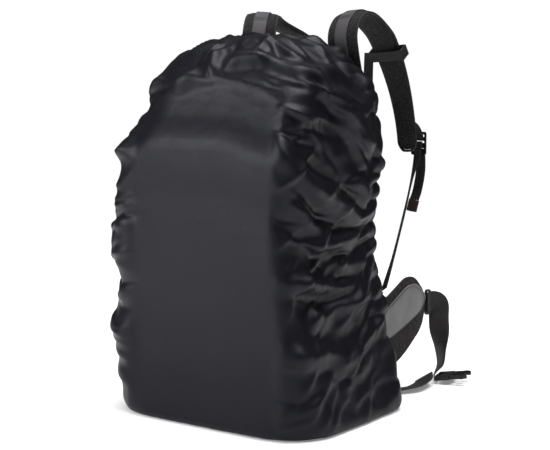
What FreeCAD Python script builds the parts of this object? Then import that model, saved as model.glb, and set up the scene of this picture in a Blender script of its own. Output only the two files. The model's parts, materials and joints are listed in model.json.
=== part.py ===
import FreeCAD, Part
import math
import os

import Sketcher
from FreeCAD import Placement, Rotation, Vector

# A stuffed trekking backpack standing upright under an elastic-hemmed rain cover.
# Millimetres, +Z up, the pack's front towards -Y, its harness towards +Y.
# The origin is the middle of the flat bottom that the covered pack stands on.

# ---------------------------------------------------------------- driving sizes
# One row per level of the rain cover: height above the floor, reach to the left,
# right, front and back of the origin, and the radius of the upright corners.
COVER_LEVELS = {
    "floor": (0, 165, 170, 160, 112, 46),
    "skirt": (28, 180, 190, 182, 128, 52),
    "hip": (90, 186, 200, 187, 128, 56),
    "waist": (160, 188, 195, 190, 128, 58),
    "belly": (250, 189, 187, 191, 128, 58),
    "chest": (360, 184, 184, 186, 128, 58),
    "pocket": (450, 176, 186, 171, 128, 60),
    "neck": (520, 168, 182, 153, 128, 62),
    "shoulder": (565, 152, 168, 139, 128, 64),
    "brow": (605, 125, 138, 121, 123, 64),
    "crown": (630, 85, 100, 86, 108, 50),
    "cap": (645, 50, 62, 46, 85, 34),
}
# The same six columns for the stuffed soft pieces of the pack inside the cover.
BAG_LEVELS = {
    "bag_base": (10, 138, 138, 118, 96, 34),
    "bag_low": (45, 150, 150, 130, 112, 40),
    "bag_high": (400, 150, 150, 130, 112, 40),
    "bag_mouth": (520, 140, 140, 118, 112, 40),
}
COLLAR_LEVELS = {
    "collar_foot": (520.5, 136, 136, 114, 108, 38),
    "collar_tip": (540, 62, 62, 52, 52, 30),
}
LID_LEVELS = {
    "lid_foot": (541, 138, 138, 122, 110, 44),
    "lid_edge": (562, 142, 142, 127, 112, 46),
    "lid_swell": (598, 118, 118, 108, 108, 46),
    "lid_top": (626, 72, 72, 66, 80, 32),
}
POCKET_LEVELS = {
    "pocket_foot": (25, 128, 128, 151, -131, 9),
    "pocket_low": (70, 140, 140, 174, -131, 16),
    "pocket_high": (400, 138, 138, 168, -131, 16),
    "pocket_top": (447, 118, 118, 147, -131, 7),
}
SIDE_POCKET_LEVELS = {
    "holder_foot": (25, -151, 164, 86, 52, 5),
    "holder_low": (80, -151, 177, 98, 62, 11),
    "holder_high": (270, -151, 175, 96, 60, 10),
    "holder_mouth": (325, -151, 166, 88, 54, 6),
}
SIZES = {
    # rain cover
    "cover_wall": 2.0,
    "seam_front": -150,
    "hem_start": 70,
    "piece_gap": 0.3,
    "opening_half": 136,
    "opening_low": 42,
    "opening_high": 574,
    "opening_corner": 48,
    "opening_shoulder": 100,
    "elastic_width": 6,
    "elastic_thick": 3.2,
    "elastic_back": 117.2,
    # main bag and back panel
    "bag_wall": 4,
    "base_panel_low": 4,
    "base_panel_thick": 5.5,
    "stay_spread": 60,
    "stay_width": 20,
    "stay_thick": 3,
    "stay_front": 112.3,
    "frame_front": 115.6,
    "frame_thick": 2,
    "frame_half": 125,
    "frame_low": 50,
    "frame_high": 560,
    "panel_front": 117.9,
    "panel_thick": 1.2,
    "panel_half": 133,
    "panel_high": 567,
    "pad_front": 119.4,
    "pad_thick": 15,
    "pad_inner": 16,
    "pad_outer": 102,
    "pad_low": 214,
    "pad_high": 462,
    "lumbar_thick": 22,
    "lumbar_half": 104,
    "lumbar_low": 58,
    "lumbar_high": 196,
    "yoke_half": 120,
    "yoke_low": 470,
    "yoke_high": 514,
    "yoke_thick": 13.4,
    "soft_edge": 5,
    "loop_half": 40,
    "loop_foot": 498,
    "loop_spring": 576,
    "loop_thick": 3,
    "loop_wide": 14,
    "loop_front": 133,
    # lid straps
    "lid_strap_spread": 62,
    "lid_strap_wide": 20,
    "lid_strap_low": 452,
    "lid_strap_high": 535,
    "lid_strap_front": 132.6,
    "webbing_thick": 1.6,
    # shoulder straps: rise up the back, turn over the crown, fall away behind
    "strap_spread": 92,
    "strap_half_wide": 31,
    "strap_half_thick": 6,
    "strap_tip_half": 21,
    "strap_edge": 4.5,
    "strap_rise": 139,
    "strap_root": 476,
    "strap_crown": 631,
    "crown_radius": 52,
    "crown_sweep": 135,
    "fall_radius": 330,
    "fall_sweep": 46,
    "strap_splay": 3.8,
    "webbing_root": 562,
    "webbing_half": 12.5,
    "webbing_offset": 7.2,
    "webbing_sweep": 35,
    # hip belt wing, in its own upright plane
    "wing_root_side": 120,
    "wing_root_back": 146,
    "wing_turn": 10.9,
    "wing_thick": 14,
    "wing_edge": 4,
    "overlay_thick": 1.2,
    "belt_web": 38,
    "belt_web_thick": 1.8,
    "sternum_web": 20,
    "buckle_yaw": 14,
    "buckle_tilt": 8,
    "keeper_at": 12,
}
# Named places that the straps run between, on the right-hand side.
PLACES = {
    "lock": (113, 352, 446),
    "anchor_root": (123.5, 122, 128),
    "anchor_tip": (157, 154, 192),
    "hip_buckle": (196, 330.5, 12.5),
}
# Corner points of the hip belt wing, as distance along the wing and height.
WING_OUTLINE = (
    (4, 60), (4, 164), (62, 182), (122, 202), (152, 190), (170, 160), (162, 108),
    (112, 62), (70, 38), (40, 42),
)
# The grey overlay on its outer face.
OVERLAY_OUTLINE = ((52, 88), (76, 138), (126, 182), (148, 178), (164, 158), (154, 122))

doc = FreeCAD.newDocument("covered_backpack")
sheet = doc.addObject("Spreadsheet::Sheet", "dims")


def fill_sheet():
    """Write every driving size into the sheet, one named cell each."""
    cells = dict(SIZES)
    columns = ("height", "left", "right", "front", "back", "corner")
    for table in (COVER_LEVELS, BAG_LEVELS, COLLAR_LEVELS, LID_LEVELS, POCKET_LEVELS,
                  SIDE_POCKET_LEVELS):
        for level, numbers in table.items():
            for column, number in zip(columns, numbers):
                cells[f"{level}_{column}"] = number
    for place, point in PLACES.items():
        for column, number in zip(("across", "behind", "up"), point):
            cells[f"{place}_{column}"] = number
    for title, outline in (("wing", WING_OUTLINE), ("overlay", OVERLAY_OUTLINE)):
        for number, (along, up) in enumerate(outline):
            cells[f"{title}_along_{number}"] = along
            cells[f"{title}_up_{number}"] = up
    for row, (alias, number) in enumerate(cells.items(), 1):
        sheet.set(f"A{row}", alias)
        sheet.set(f"B{row}", str(number))
        sheet.setAlias(f"B{row}", alias)
    doc.recompute()


def size(expression):
    """The number that an expression on the sheet gives."""
    return float(sheet.evalExpression(expression.replace("dims.", "")))


def spot(place):
    """A named place from the sheet."""
    return Vector(*(size(f"dims.{place}_{column}") for column in ("across", "behind", "up")))


# ---------------------------------------------------------------- sketch helpers
def new_sketch(body, name, role, offset="0"):
    """A sketch on one of the body's own origin planes, moved along its normal."""
    plane = [each for each in body.Origin.OriginFeatures if each.Role == role][0]
    sketch = body.newObject("Sketcher::SketchObject", name)
    sketch.AttachmentSupport = [(plane, "")]
    sketch.MapMode = "FlatFace"
    sketch.setExpression("AttachmentOffset.Base.z", offset)
    return sketch


def bind(sketch, kind, *geometry, name, to):
    """Add a dimension to a sketch and bind it to an expression on the sheet."""
    number = size(to)
    if kind == "Angle":
        number = math.radians(number)
    index = sketch.addConstraint(Sketcher.Constraint(kind, *geometry, number))
    sketch.renameConstraint(index, name)
    sketch.setExpression(f"Constraints.{name}", to)


def draw_rounded(sketch, left, right, front, back, corner, far_corner=None, tag=""):
    """Rounded rectangle about the origin; each reach is an expression."""
    corners = (corner, corner, far_corner or corner, far_corner or corner)
    west, east, south, north = -size(left), size(right), -size(front), size(back)
    near, far = size(corners[0]), size(corners[2])
    centres = ((west + near, south + near), (east - near, south + near),
               (east - far, north - far), (west + far, north - far))
    sides = (((west + near, south), (east - near, south)),
             ((east, south + near), (east, north - far)),
             ((east - far, north), (west + far, north)),
             ((west, north - far), (west, south + near)))
    lines = [sketch.addGeometry(Part.LineSegment(Vector(*a, 0), Vector(*b, 0))) for a, b in sides]
    arcs = []
    for quarter, centre in enumerate(centres):
        start = math.pi + quarter * math.pi / 2
        circle = Part.Circle(Vector(*centre, 0), Vector(0, 0, 1), near if quarter < 2 else far)
        arcs.append(sketch.addGeometry(Part.ArcOfCircle(circle, start, start + math.pi / 2)))
    for quarter in range(4):
        sketch.addConstraint(Sketcher.Constraint("Tangent", arcs[quarter], 2, lines[quarter], 1))
        following = (quarter + 1) % 4
        sketch.addConstraint(Sketcher.Constraint("Tangent", lines[quarter], 2, arcs[following], 1))
        level = "Horizontal" if quarter % 2 == 0 else "Vertical"
        sketch.addConstraint(Sketcher.Constraint(level, lines[quarter]))
    for quarter, arc in enumerate(arcs):
        bind(sketch, "Radius", arc, name=f"corner_{tag}{quarter}", to=corners[quarter])
    bind(sketch, "DistanceY", -1, 1, lines[0], 1, name=f"front{tag}", to=f"-({front})")
    bind(sketch, "DistanceX", -1, 1, lines[1], 1, name=f"right{tag}", to=right)
    bind(sketch, "DistanceY", -1, 1, lines[2], 1, name=f"back{tag}", to=back)
    bind(sketch, "DistanceX", -1, 1, lines[3], 1, name=f"left{tag}", to=f"-({left})")


def draw_outline(sketch, corners):
    """Closed polygon; each corner is a pair of expressions."""
    points = [Vector(size(across), size(up), 0) for across, up in corners]
    count = len(points)
    for number in range(count):
        sketch.addGeometry(Part.LineSegment(points[number], points[(number + 1) % count]))
    for number, (across, up) in enumerate(corners):
        following = (number + 1) % count
        sketch.addConstraint(Sketcher.Constraint("Coincident", number, 2, following, 1))
        bind(sketch, "DistanceX", -1, 1, number, 1, name=f"across_{number}", to=across)
        bind(sketch, "DistanceY", -1, 1, number, 1, name=f"up_{number}", to=up)


# ---------------------------------------------------------------- body builders
def new_body(label):
    body = doc.addObject("PartDesign::Body", label)
    body.Label = label
    return body


def level_sketches(body, table, inset="0", heights=None):
    """One rounded section per level, all drawn in by the same inset."""
    sketches = []
    for level in table:
        row = f"dims.{level}"
        height = (heights or {}).get(level, f"{row}_height")
        sketch = new_sketch(body, f"{body.Name}_{level}", "XY_Plane", height)
        draw_rounded(sketch, f"{row}_left - {inset}", f"{row}_right - {inset}",
                     f"{row}_front - {inset}", f"{row}_back - {inset}",
                     f"{row}_corner - {inset}")
        sketches.append(sketch)
    return sketches


def loft(body, kind, sketches):
    feature = body.newObject(f"PartDesign::{kind}", f"{body.Name}_{kind.lower()}")
    feature.Profile = sketches[0]
    feature.Sections = sketches[1:]
    feature.Ruled = True
    body.Tip = feature
    return feature


def stack(label, table):
    """A closed soft solid through the levels of a table."""
    body = new_body(label)
    loft(body, "AdditiveLoft", level_sketches(body, table))
    return body


def pad(body, sketch, length, midplane=False, flip=False):
    feature = body.newObject("PartDesign::Pad", f"{body.Name}_pad_{len(body.Group)}")
    feature.Profile = sketch
    feature.setExpression("Length", length)
    feature.Midplane = midplane
    feature.Reversed = flip
    body.Tip = feature
    return feature


def pocket(body, sketch, length, midplane=True):
    feature = body.newObject("PartDesign::Pocket", f"{body.Name}_pocket_{len(body.Group)}")
    feature.Profile = sketch
    feature.setExpression("Length", length)
    feature.Midplane = midplane
    body.Tip = feature
    return feature


def soften(body, radius, wanted):
    """Fillet the edges of the body's tip for which wanted(edge) is true."""
    doc.recompute()
    base = body.Tip
    names = [f"Edge{number}" for number, edge in enumerate(base.Shape.Edges, 1) if wanted(edge)]
    feature = body.newObject("PartDesign::Fillet", f"{body.Name}_fillet_{len(body.Group)}")
    feature.Base = (base, names)
    feature.setExpression("Radius", radius)
    body.Tip = feature
    return feature


def box(label, spans):
    """A Part::Box from three (low, length) pairs of expressions, along X, Y and Z."""
    feature = doc.addObject("Part::Box", label)
    feature.Label = label
    for axis, side, (low, length) in zip("xyz", ("Length", "Width", "Height"), spans):
        feature.setExpression(f"Placement.Base.{axis}", low)
        feature.setExpression(side, length)
    return feature


def soft_box(label, spans, radius):
    """A box with every edge rounded, for a foam pad."""
    core = box(f"{label}_core", spans)
    doc.recompute()
    feature = doc.addObject("Part::Fillet", label)
    feature.Label = label
    feature.Base = core
    turn = size(radius)
    feature.Edges = [(number, turn, turn) for number in range(1, len(core.Shape.Edges) + 1)]
    return feature


def mirror(label, source):
    """The left-hand twin of a right-hand piece."""
    feature = doc.addObject("Part::Mirroring", label)
    feature.Label = label
    feature.Source = source
    feature.Normal = (1, 0, 0)
    feature.Base = (0, 0, 0)
    return feature


def ribbon(label, stations, widths, thick, square=True):
    """A flat strap through stations of (point, direction of its width)."""
    points = [Vector(*point) for point, _ in stations]
    wires = []
    for number, (_, across) in enumerate(stations):
        width = widths[number] if isinstance(widths, tuple) else widths
        before = points[max(number - 1, 0)]
        after = points[min(number + 1, len(points) - 1)]
        run = (after - before).normalize()
        side = Vector(*across)
        if square:
            side = side - run * side.dot(run)
        side.normalize()
        face = run.cross(side).normalize() * (thick / 2)
        side = side * (width / 2)
        centre = points[number]
        ring = [centre + side + face, centre - side + face, centre - side - face,
                centre + side - face]
        wires.append(Part.makePolygon(ring + ring[:1]))
    feature = doc.addObject("Part::Feature", label)
    feature.Label = label
    feature.Shape = Part.makeLoft(wires, True, True)
    return feature


# ---------------------------------------------------------------- rain cover
def build_cover():
    """One coated-nylon shell, split at its front seam and where its hem turns in."""
    shell = new_body("cover_shell")
    loft(shell, "AdditiveLoft", level_sketches(shell, COVER_LEVELS))
    wall = "dims.cover_wall"
    heights = {"floor": f"dims.floor_height + {wall}"}
    for level in ("brow", "crown", "cap"):
        heights[level] = f"dims.{level}_height - {wall}"
    loft(shell, "SubtractiveLoft", level_sketches(shell, COVER_LEVELS, wall, heights))
    opening = new_sketch(shell, "opening", "XZ_Plane", "-dims.elastic_back")
    draw_rounded(opening, "dims.opening_half", "dims.opening_half", "-dims.opening_low",
                 "dims.opening_high", "dims.opening_corner", "dims.opening_shoulder")
    pocket(shell, opening, "60")
    reach = "600"
    gap = "dims.piece_gap"
    spans = {
        "cover_front_panel": ("-400", "400 + dims.seam_front"),
        "cover_gusset": (f"dims.seam_front + {gap}",
                         f"dims.hem_start - dims.seam_front - 2 * {gap}"),
        "cover_hem": ("dims.hem_start", "200"),
    }
    pieces = []
    for label, depth in spans.items():
        slab = box(f"{label}_slab", ((f"-{reach} / 2", reach), depth, ("-10", "700")))
        piece = doc.addObject("Part::Common", label)
        piece.Label = label
        piece.Base = shell
        piece.Tool = slab
        pieces.append(piece)
    elastic = new_body("hem_elastic")
    ring = new_sketch(elastic, "elastic_ring", "XZ_Plane", "-dims.elastic_back")
    low = "-dims.opening_low"
    for tag, grow in (("inner", "0.6"), ("outer", "0.6 + dims.elastic_width")):
        draw_rounded(ring, f"dims.opening_half + {grow}", f"dims.opening_half + {grow}",
                     f"{low} + {grow}", f"dims.opening_high + {grow}",
                     f"dims.opening_corner + {grow}", f"dims.opening_shoulder + {grow}", tag)
    pad(elastic, ring, "dims.elastic_thick")
    pieces.append(elastic)
    return pieces


# ---------------------------------------------------------------- the pack
def build_main_bag():
    """The open-topped main compartment with a padded wall and floor."""
    bag = new_body("main_bag")
    loft(bag, "AdditiveLoft", level_sketches(bag, BAG_LEVELS))
    heights = {
        "bag_base": "dims.bag_base_height + dims.bag_wall",
        "bag_mouth": "dims.bag_mouth_height + 1",
    }
    sketches = level_sketches(bag, BAG_LEVELS, "dims.bag_wall", heights)
    loft(bag, "SubtractiveLoft", sketches)
    return bag


def build_back():
    """The frame, back panel and the foam that rests on the wearer."""
    pieces = []
    for side, sign in (("left", "-"), ("right", "")):
        centre = f"{sign}dims.stay_spread"
        pieces.append(box(f"frame_stay_{side}", (
            (f"{centre} - dims.stay_width / 2", "dims.stay_width"),
            ("dims.stay_front", "dims.stay_thick"),
            ("dims.frame_low", "dims.frame_high - dims.frame_low"))))
    for label, kind in (("frame_sheet", "frame"), ("back_panel", "panel")):
        sheet_body = new_body(label)
        face = new_sketch(sheet_body, f"{label}_face", "XZ_Plane", f"-dims.{kind}_front")
        draw_rounded(face, f"dims.{kind}_half", f"dims.{kind}_half", "-dims.frame_low",
                     f"dims.{kind}_high", "dims.opening_corner - 4", "dims.opening_shoulder - 4")
        pad(sheet_body, face, f"dims.{kind}_thick", flip=True)
        pieces.append(sheet_body)
    right = soft_box("back_pad_right", (
        ("dims.pad_inner", "dims.pad_outer - dims.pad_inner"),
        ("dims.pad_front", "dims.pad_thick"),
        ("dims.pad_low", "dims.pad_high - dims.pad_low")), "dims.soft_edge")
    pieces += [right, mirror("back_pad_left", right)]
    pieces.append(soft_box("lumbar_pad", (
        ("-dims.lumbar_half", "2 * dims.lumbar_half"),
        ("dims.pad_front", "dims.lumbar_thick"),
        ("dims.lumbar_low", "dims.lumbar_high - dims.lumbar_low")), "dims.soft_edge"))
    pieces.append(soft_box("shoulder_yoke", (
        ("-dims.yoke_half", "2 * dims.yoke_half"),
        ("dims.pad_front", "dims.yoke_thick"),
        ("dims.yoke_low", "dims.yoke_high - dims.yoke_low")), "dims.soft_edge"))
    pieces.append(box("base_panel", (
        ("-dims.bag_base_left + 12", "2 * dims.bag_base_left - 24"),
        ("-dims.bag_base_front + 12", "dims.bag_base_front + dims.bag_base_back - 24"),
        ("dims.base_panel_low", "dims.base_panel_thick"))))
    pieces.append(build_haul_loop())
    return pieces


def build_haul_loop():
    """An upright webbing arch at the top of the back panel, to lift the pack by."""
    loop = new_body("haul_loop")
    arch = new_sketch(loop, "haul_arch", "XZ_Plane", "-dims.loop_front")
    foot, spring = size("dims.loop_foot"), size("dims.loop_spring")
    for tag, half in (("outer", "dims.loop_half"), ("inner", "dims.loop_half - dims.loop_thick")):
        reach = size(half)
        first = arch.GeometryCount
        arch.addGeometry(Part.LineSegment(Vector(reach, foot, 0), Vector(reach, spring, 0)))
        circle = Part.Circle(Vector(0, spring, 0), Vector(0, 0, 1), reach)
        arch.addGeometry(Part.ArcOfCircle(circle, 0, math.pi))
        arch.addGeometry(Part.LineSegment(Vector(-reach, spring, 0), Vector(-reach, foot, 0)))
        arch.addConstraint(Sketcher.Constraint("Tangent", first, 2, first + 1, 1))
        arch.addConstraint(Sketcher.Constraint("Tangent", first + 1, 2, first + 2, 1))
        arch.addConstraint(Sketcher.Constraint("Vertical", first))
        arch.addConstraint(Sketcher.Constraint("Vertical", first + 2))
        bind(arch, "DistanceX", -1, 1, first, 1, name=f"reach_{tag}", to=half)
        bind(arch, "DistanceX", -1, 1, first + 2, 2, name=f"mirror_{tag}", to=f"-({half})")
        bind(arch, "DistanceY", -1, 1, first, 1, name=f"foot_{tag}", to="dims.loop_foot")
        bind(arch, "DistanceY", -1, 1, first + 2, 2, name=f"end_{tag}", to="dims.loop_foot")
        bind(arch, "DistanceY", -1, 1, first + 1, 3, name=f"spring_{tag}", to="dims.loop_spring")
    for end, (outer, inner) in (("right", ((0, 1), (3, 1))), ("left", ((2, 2), (5, 2)))):
        start = arch.getPoint(*outer)
        stop = arch.getPoint(*inner)
        cap = arch.addGeometry(Part.LineSegment(start, stop))
        arch.addConstraint(Sketcher.Constraint("Coincident", cap, 1, *outer))
        arch.addConstraint(Sketcher.Constraint("Coincident", cap, 2, *inner))
    pad(loop, arch, "dims.loop_wide", flip=True)
    return loop


def build_lid_straps():
    """Two webbing straps with buckles that close the lid over the front pocket."""
    pieces = []
    for side, sign in (("left", "-"), ("right", "")):
        across = (f"{sign}dims.lid_strap_spread - dims.lid_strap_wide / 2", "dims.lid_strap_wide")
        pieces.append(box(f"lid_strap_{side}", (
            across, ("-dims.lid_strap_front", "dims.webbing_thick"),
            ("dims.lid_strap_low", "dims.lid_strap_high - dims.lid_strap_low"))))
        pieces.append(box(f"lid_buckle_{side}", (
            (f"{sign}dims.lid_strap_spread - dims.lid_strap_wide / 2 - 4",
             "dims.lid_strap_wide + 8"),
            ("-dims.lid_strap_front - 9", "8.8"), ("dims.lid_strap_low + 18", "38"))))
    return pieces


# ---------------------------------------------------------------- shoulder harness
def draw_strap_spine(sketch, offset, start, last_sweep):
    """Straight rise, tight turn over the crown, long easy fall, all tangent."""
    rise = size("dims.strap_rise") - offset
    root, crown = size(start), size("dims.strap_crown")
    turn = size("dims.crown_radius") + offset
    centre = Vector(rise + turn, crown, 0)
    fall_from = math.radians(180 - size("dims.crown_sweep"))
    line = sketch.addGeometry(Part.LineSegment(Vector(rise, root, 0), Vector(rise, crown, 0)))
    crown_arc = Part.ArcOfCircle(Part.Circle(centre, Vector(0, 0, 1), turn), fall_from, math.pi)
    over = sketch.addGeometry(crown_arc)
    sketch.addConstraint(Sketcher.Constraint("Vertical", line))
    sketch.addConstraint(Sketcher.Constraint("Tangent", line, 2, over, 2))
    bind(sketch, "DistanceX", -1, 1, line, 1, name="rise", to=f"dims.strap_rise - {offset}")
    bind(sketch, "DistanceY", -1, 1, line, 1, name="root", to=start)
    bind(sketch, "DistanceY", -1, 1, line, 2, name="crown", to="dims.strap_crown")
    bind(sketch, "Radius", over, name="over", to=f"dims.crown_radius + {offset}")
    bind(sketch, "Angle", over, name="sweep", to="dims.crown_sweep")
    if not last_sweep:
        return
    fall = size("dims.fall_radius") + offset
    step = turn - fall
    middle = centre + Vector(math.cos(fall_from), math.sin(fall_from), 0) * step
    fall_to = fall_from - math.radians(size(last_sweep))
    down = sketch.addGeometry(
        Part.ArcOfCircle(Part.Circle(middle, Vector(0, 0, 1), fall), fall_to, fall_from))
    sketch.addConstraint(Sketcher.Constraint("Tangent", over, 1, down, 2))
    bind(sketch, "Radius", down, name="fall", to=f"dims.fall_radius + {offset}")
    bind(sketch, "Angle", down, name="fall_sweep", to=last_sweep)


def pipe(label, half_wide, half_thick, corner, offset, start, last_sweep):
    """A flat band swept along the strap's side view."""
    body = new_body(label)
    spine = new_sketch(body, f"{label}_spine", "YZ_Plane")
    draw_strap_spine(spine, offset, start, last_sweep)
    section = new_sketch(body, f"{label}_section", "XY_Plane", start)
    rise = f"(dims.strap_rise - {offset})"
    draw_rounded(section, half_wide, half_wide, f"{half_thick} - {rise}",
                 f"{half_thick} + {rise}", corner)
    doc.recompute()
    feature = body.newObject("PartDesign::AdditivePipe", f"{label}_pipe")
    feature.Profile = section
    feature.Spine = (spine, [f"Edge{number}" for number in range(1, spine.GeometryCount + 1)])
    feature.Mode = "Standard"
    body.Tip = feature
    return body


def hang(body):
    """Stand a strap piece off to the right, splayed outwards towards its tip."""
    pivot = size("dims.strap_crown")
    splay = Rotation(Vector(0, 1, 0), -size("dims.strap_splay"))
    shift = Vector(size("dims.strap_spread"), 0, pivot) - splay.multVec(Vector(0, 0, pivot))
    body.Placement = Placement(shift, splay)
    return body


def strap_point(along_fall, offset, across=0.0):
    """A point on the falling part: degrees past the crown turn, out from the middle."""
    angle = math.radians(180 - size("dims.crown_sweep"))
    turn, fall = size("dims.crown_radius"), size("dims.fall_radius")
    centre = Vector(0, size("dims.strap_rise") + turn, size("dims.strap_crown"))
    middle = centre + Vector(0, math.cos(angle), math.sin(angle)) * (turn - fall)
    angle -= math.radians(along_fall)
    point = middle + Vector(0, math.cos(angle), math.sin(angle)) * (fall + offset)
    point.x = across
    pivot = Vector(0, 0, size("dims.strap_crown"))
    splay = Rotation(Vector(0, 1, 0), -size("dims.strap_splay"))
    return splay.multVec(point - pivot) + pivot + Vector(size("dims.strap_spread"), 0, 0)


def build_strap():
    """The right shoulder strap's padding, taper and outer webbing."""
    padding = pipe("shoulder_strap_right", "dims.strap_half_wide", "dims.strap_half_thick",
                   "dims.strap_edge", 0, "dims.strap_root", "dims.fall_sweep")
    taper = new_sketch(padding, "taper_right", "XZ_Plane", "-(dims.strap_rise + 200)")
    draw_outline(taper, (("dims.strap_half_wide", "610"), ("dims.strap_tip_half", "330"),
                         ("80", "330"), ("80", "610")))
    pocket(padding, taper, "260")
    taper = new_sketch(padding, "taper_left", "XZ_Plane", "-(dims.strap_rise + 200)")
    draw_outline(taper, (("-dims.strap_half_wide", "610"), ("-80", "610"), ("-80", "330"),
                         ("-dims.strap_tip_half", "330")))
    pocket(padding, taper, "260")
    webbing = pipe("strap_webbing_right", "dims.webbing_half", "dims.webbing_thick / 2",
                   "dims.webbing_thick / 4", size("dims.webbing_offset"),
                   "dims.webbing_root", "dims.webbing_sweep")
    return [hang(padding), hang(webbing)]


def slotted_plate(label, wide, tall, thick, slots):
    """A moulded plate with slots for webbing, drawn on the XZ plane about its centre."""
    body = new_body(label)
    face = new_sketch(body, f"{label}_face", "XZ_Plane")
    draw_rounded(face, f"{wide} / 2", f"{wide} / 2", f"{tall} / 2", f"{tall} / 2", "4")
    pad(body, face, thick, midplane=True)
    for number, (low, high, half) in enumerate(slots):
        hole = new_sketch(body, f"{label}_slot_{number}", "XZ_Plane")
        draw_rounded(hole, half, half, f"-({low})", high, "1.2")
        pocket(body, hole, f"{thick} + 2")
    return body


def buckle_half(label, web, shape):
    """Half of a side-release buckle for a webbing width, its mouth or prongs along +X."""
    body = new_body(label)
    outline = new_sketch(body, f"{label}_plan", "XY_Plane")
    if shape == "male":
        corners = ((-0.58, -0.62), (0.16, -0.66), (0.2, -0.54), (0.72, -0.56), (0.8, -0.62),
                   (1.04, -0.44), (0.98, -0.38), (0.28, -0.4), (0.28, -0.1), (0.86, -0.1),
                   (0.86, 0.1), (0.28, 0.1), (0.28, 0.4), (0.98, 0.38), (1.04, 0.44),
                   (0.8, 0.62), (0.72, 0.56), (0.2, 0.54), (0.16, 0.66), (-0.58, 0.62))
        thick, slot = 0.2, (-0.46, -0.32)
    else:
        corners = ((-0.58, -0.6), (-0.2, -0.66), (0.55, -0.66), (0.62, -0.5), (0.62, 0.5),
                   (0.55, 0.66), (-0.2, 0.66), (-0.58, 0.6))
        thick, slot = 0.42, (-0.46, -0.32)
    draw_outline(outline, [(f"{x} * {web}", f"{y} * {web}") for x, y in corners])
    pad(body, outline, f"{thick} * {web}", midplane=True)
    hole = new_sketch(body, f"{label}_slot", "XY_Plane")
    draw_rounded(hole, f"{-slot[0]} * {web}", f"{slot[1]} * {web}", f"0.52 * {web}",
                 f"0.52 * {web}", "0.8")
    pocket(body, hole, f"{web}")
    if shape == "female":
        mouth = new_sketch(body, f"{label}_mouth", "YZ_Plane", f"0.24 * {web}")
        draw_rounded(mouth, f"0.55 * {web}", f"0.55 * {web}", f"0.14 * {web}",
                     f"0.14 * {web}", "0.6")
        pocket(body, mouth, f"0.8 * {web}")
    return body


def build_strap_hardware():
    """Ladder lock, lower webbing, its sewn anchor, and the tail with its end tab."""
    lock = slotted_plate("ladder_lock_right", "31", "44", "4.4",
                         (("12", "17", "12.8"), ("1", "5", "12.8"), ("-14", "-9", "12.8")))
    lock_at, root, tip = spot("lock"), spot("anchor_root"), spot("anchor_tip")
    lock.Placement.Base = lock_at
    across = (1, 0, 0)
    thick = size("dims.webbing_thick")
    strap_end = strap_point(size("dims.webbing_sweep"), size("dims.webbing_offset"))
    link = ribbon("strap_link_right", (
        (strap_end + Vector(0, 3.4, -4), across),
        (lock_at + Vector(-6, -11, 33), across),
        (lock_at + Vector(-1, -4.6, 18), across),
        (lock_at + Vector(0, -3.4, 9), across)), 24, thick, square=False)
    lower = ribbon("lower_webbing_right", (
        (lock_at + Vector(0, -3.4, 4), across),
        (lock_at + Vector(1, -8, -24), across),
        (lock_at + Vector(3, -32, -72), (1, -0.12, 0)),
        ((131, 266, 312), (0.93, -0.36, 0)),
        ((143, 212, 246), (0.85, -0.5, 0.1)),
        (tip + Vector(0.2, 3.4, 4.4), (0.8, -0.3, 0.5))), 20, thick)
    anchor = ribbon("strap_anchor_right", (
        (root, (0, 0, 1)), (tip, (0.6, -0.3, 0.7))), (72, 24), 3, square=False)
    tail = ribbon("strap_tail_right", (
        (lock_at + Vector(2, 3.2, -10), across),
        (lock_at + Vector(2, 5, -50), (1, 0.15, 0)),
        (lock_at + Vector(0, -2, -86), (0.9, 0.4, 0)),
        (lock_at + Vector(-3, -9, -106), (0.9, 0.4, 0))), 20, thick)
    tab = ribbon("tail_tab_right", (
        (lock_at + Vector(-3, -9.2, -106.6), (0.9, 0.4, 0)),
        (lock_at + Vector(-6, -14, -128), (0.9, 0.4, 0))), 22, 3.4)
    return [lock, link, lower, anchor, tail, tab]


def slant_box(centre, axes, halves):
    """A box about a centre, along three perpendicular directions."""
    across, outward, along = axes
    corner = centre - across * halves[0] - outward * halves[1] - along * halves[2]
    solid = Part.makeBox(*(2 * half for half in halves))
    turn = Rotation(across, outward, along, "XYZ")
    solid.Placement = Placement(corner, turn)
    return solid


def build_sternum():
    """A keeper round the strap that slides, with the sternum webbing hanging from it."""
    at = size("dims.keeper_at")
    centre = strap_point(at, 0)
    along = (strap_point(at - 1, 0) - strap_point(at + 1, 0)).normalize()
    across = (strap_point(at, 0, 1.0) - centre).normalize()
    outward = along.cross(across)
    axes = (across, outward, along)
    keeper = doc.addObject("Part::Feature", "sternum_keeper_right")
    keeper.Label = "sternum_keeper_right"
    hollow = slant_box(centre, axes, (32.8, 9.4, 20))
    keeper.Shape = slant_box(centre, axes, (35, 11.2, 10)).cut(hollow)
    hook = centre - across * 36.6
    web = size("dims.sternum_web")
    webbing = ribbon("sternum_webbing_right", (
        (hook + Vector(0, -2, 4), (0, 1, 0)),
        (hook + Vector(-1, -5, -50), (0.3, 1, 0)),
        (hook + Vector(-1, -6, -120), (0.5, 1, 0)),
        (hook + Vector(0, -6, -172), (1, 0.2, 0))), web, size("dims.webbing_thick"))
    buckle = buckle_half("sternum_buckle_female", "dims.sternum_web", "female")
    down = Rotation(Vector(0, 0, -1), Vector(1, 0, 0), Vector(0, -1, 0), "XYZ")
    buckle.Placement = Placement(hook + Vector(0, -6, -186), down)
    twin = buckle_half("sternum_buckle_male", "dims.sternum_web", "male")
    mate = hook + Vector(0, -6, -184.4)
    mate.x = -mate.x
    twin.Placement = Placement(mate, down)
    return [keeper, webbing], [buckle, twin]


# ---------------------------------------------------------------- hip belt
def wing_place():
    turn = Rotation(Vector(0, 0, 1), -size("dims.wing_turn"))
    return Placement(Vector(size("dims.wing_root_side"), size("dims.wing_root_back"), 0), turn)


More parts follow.
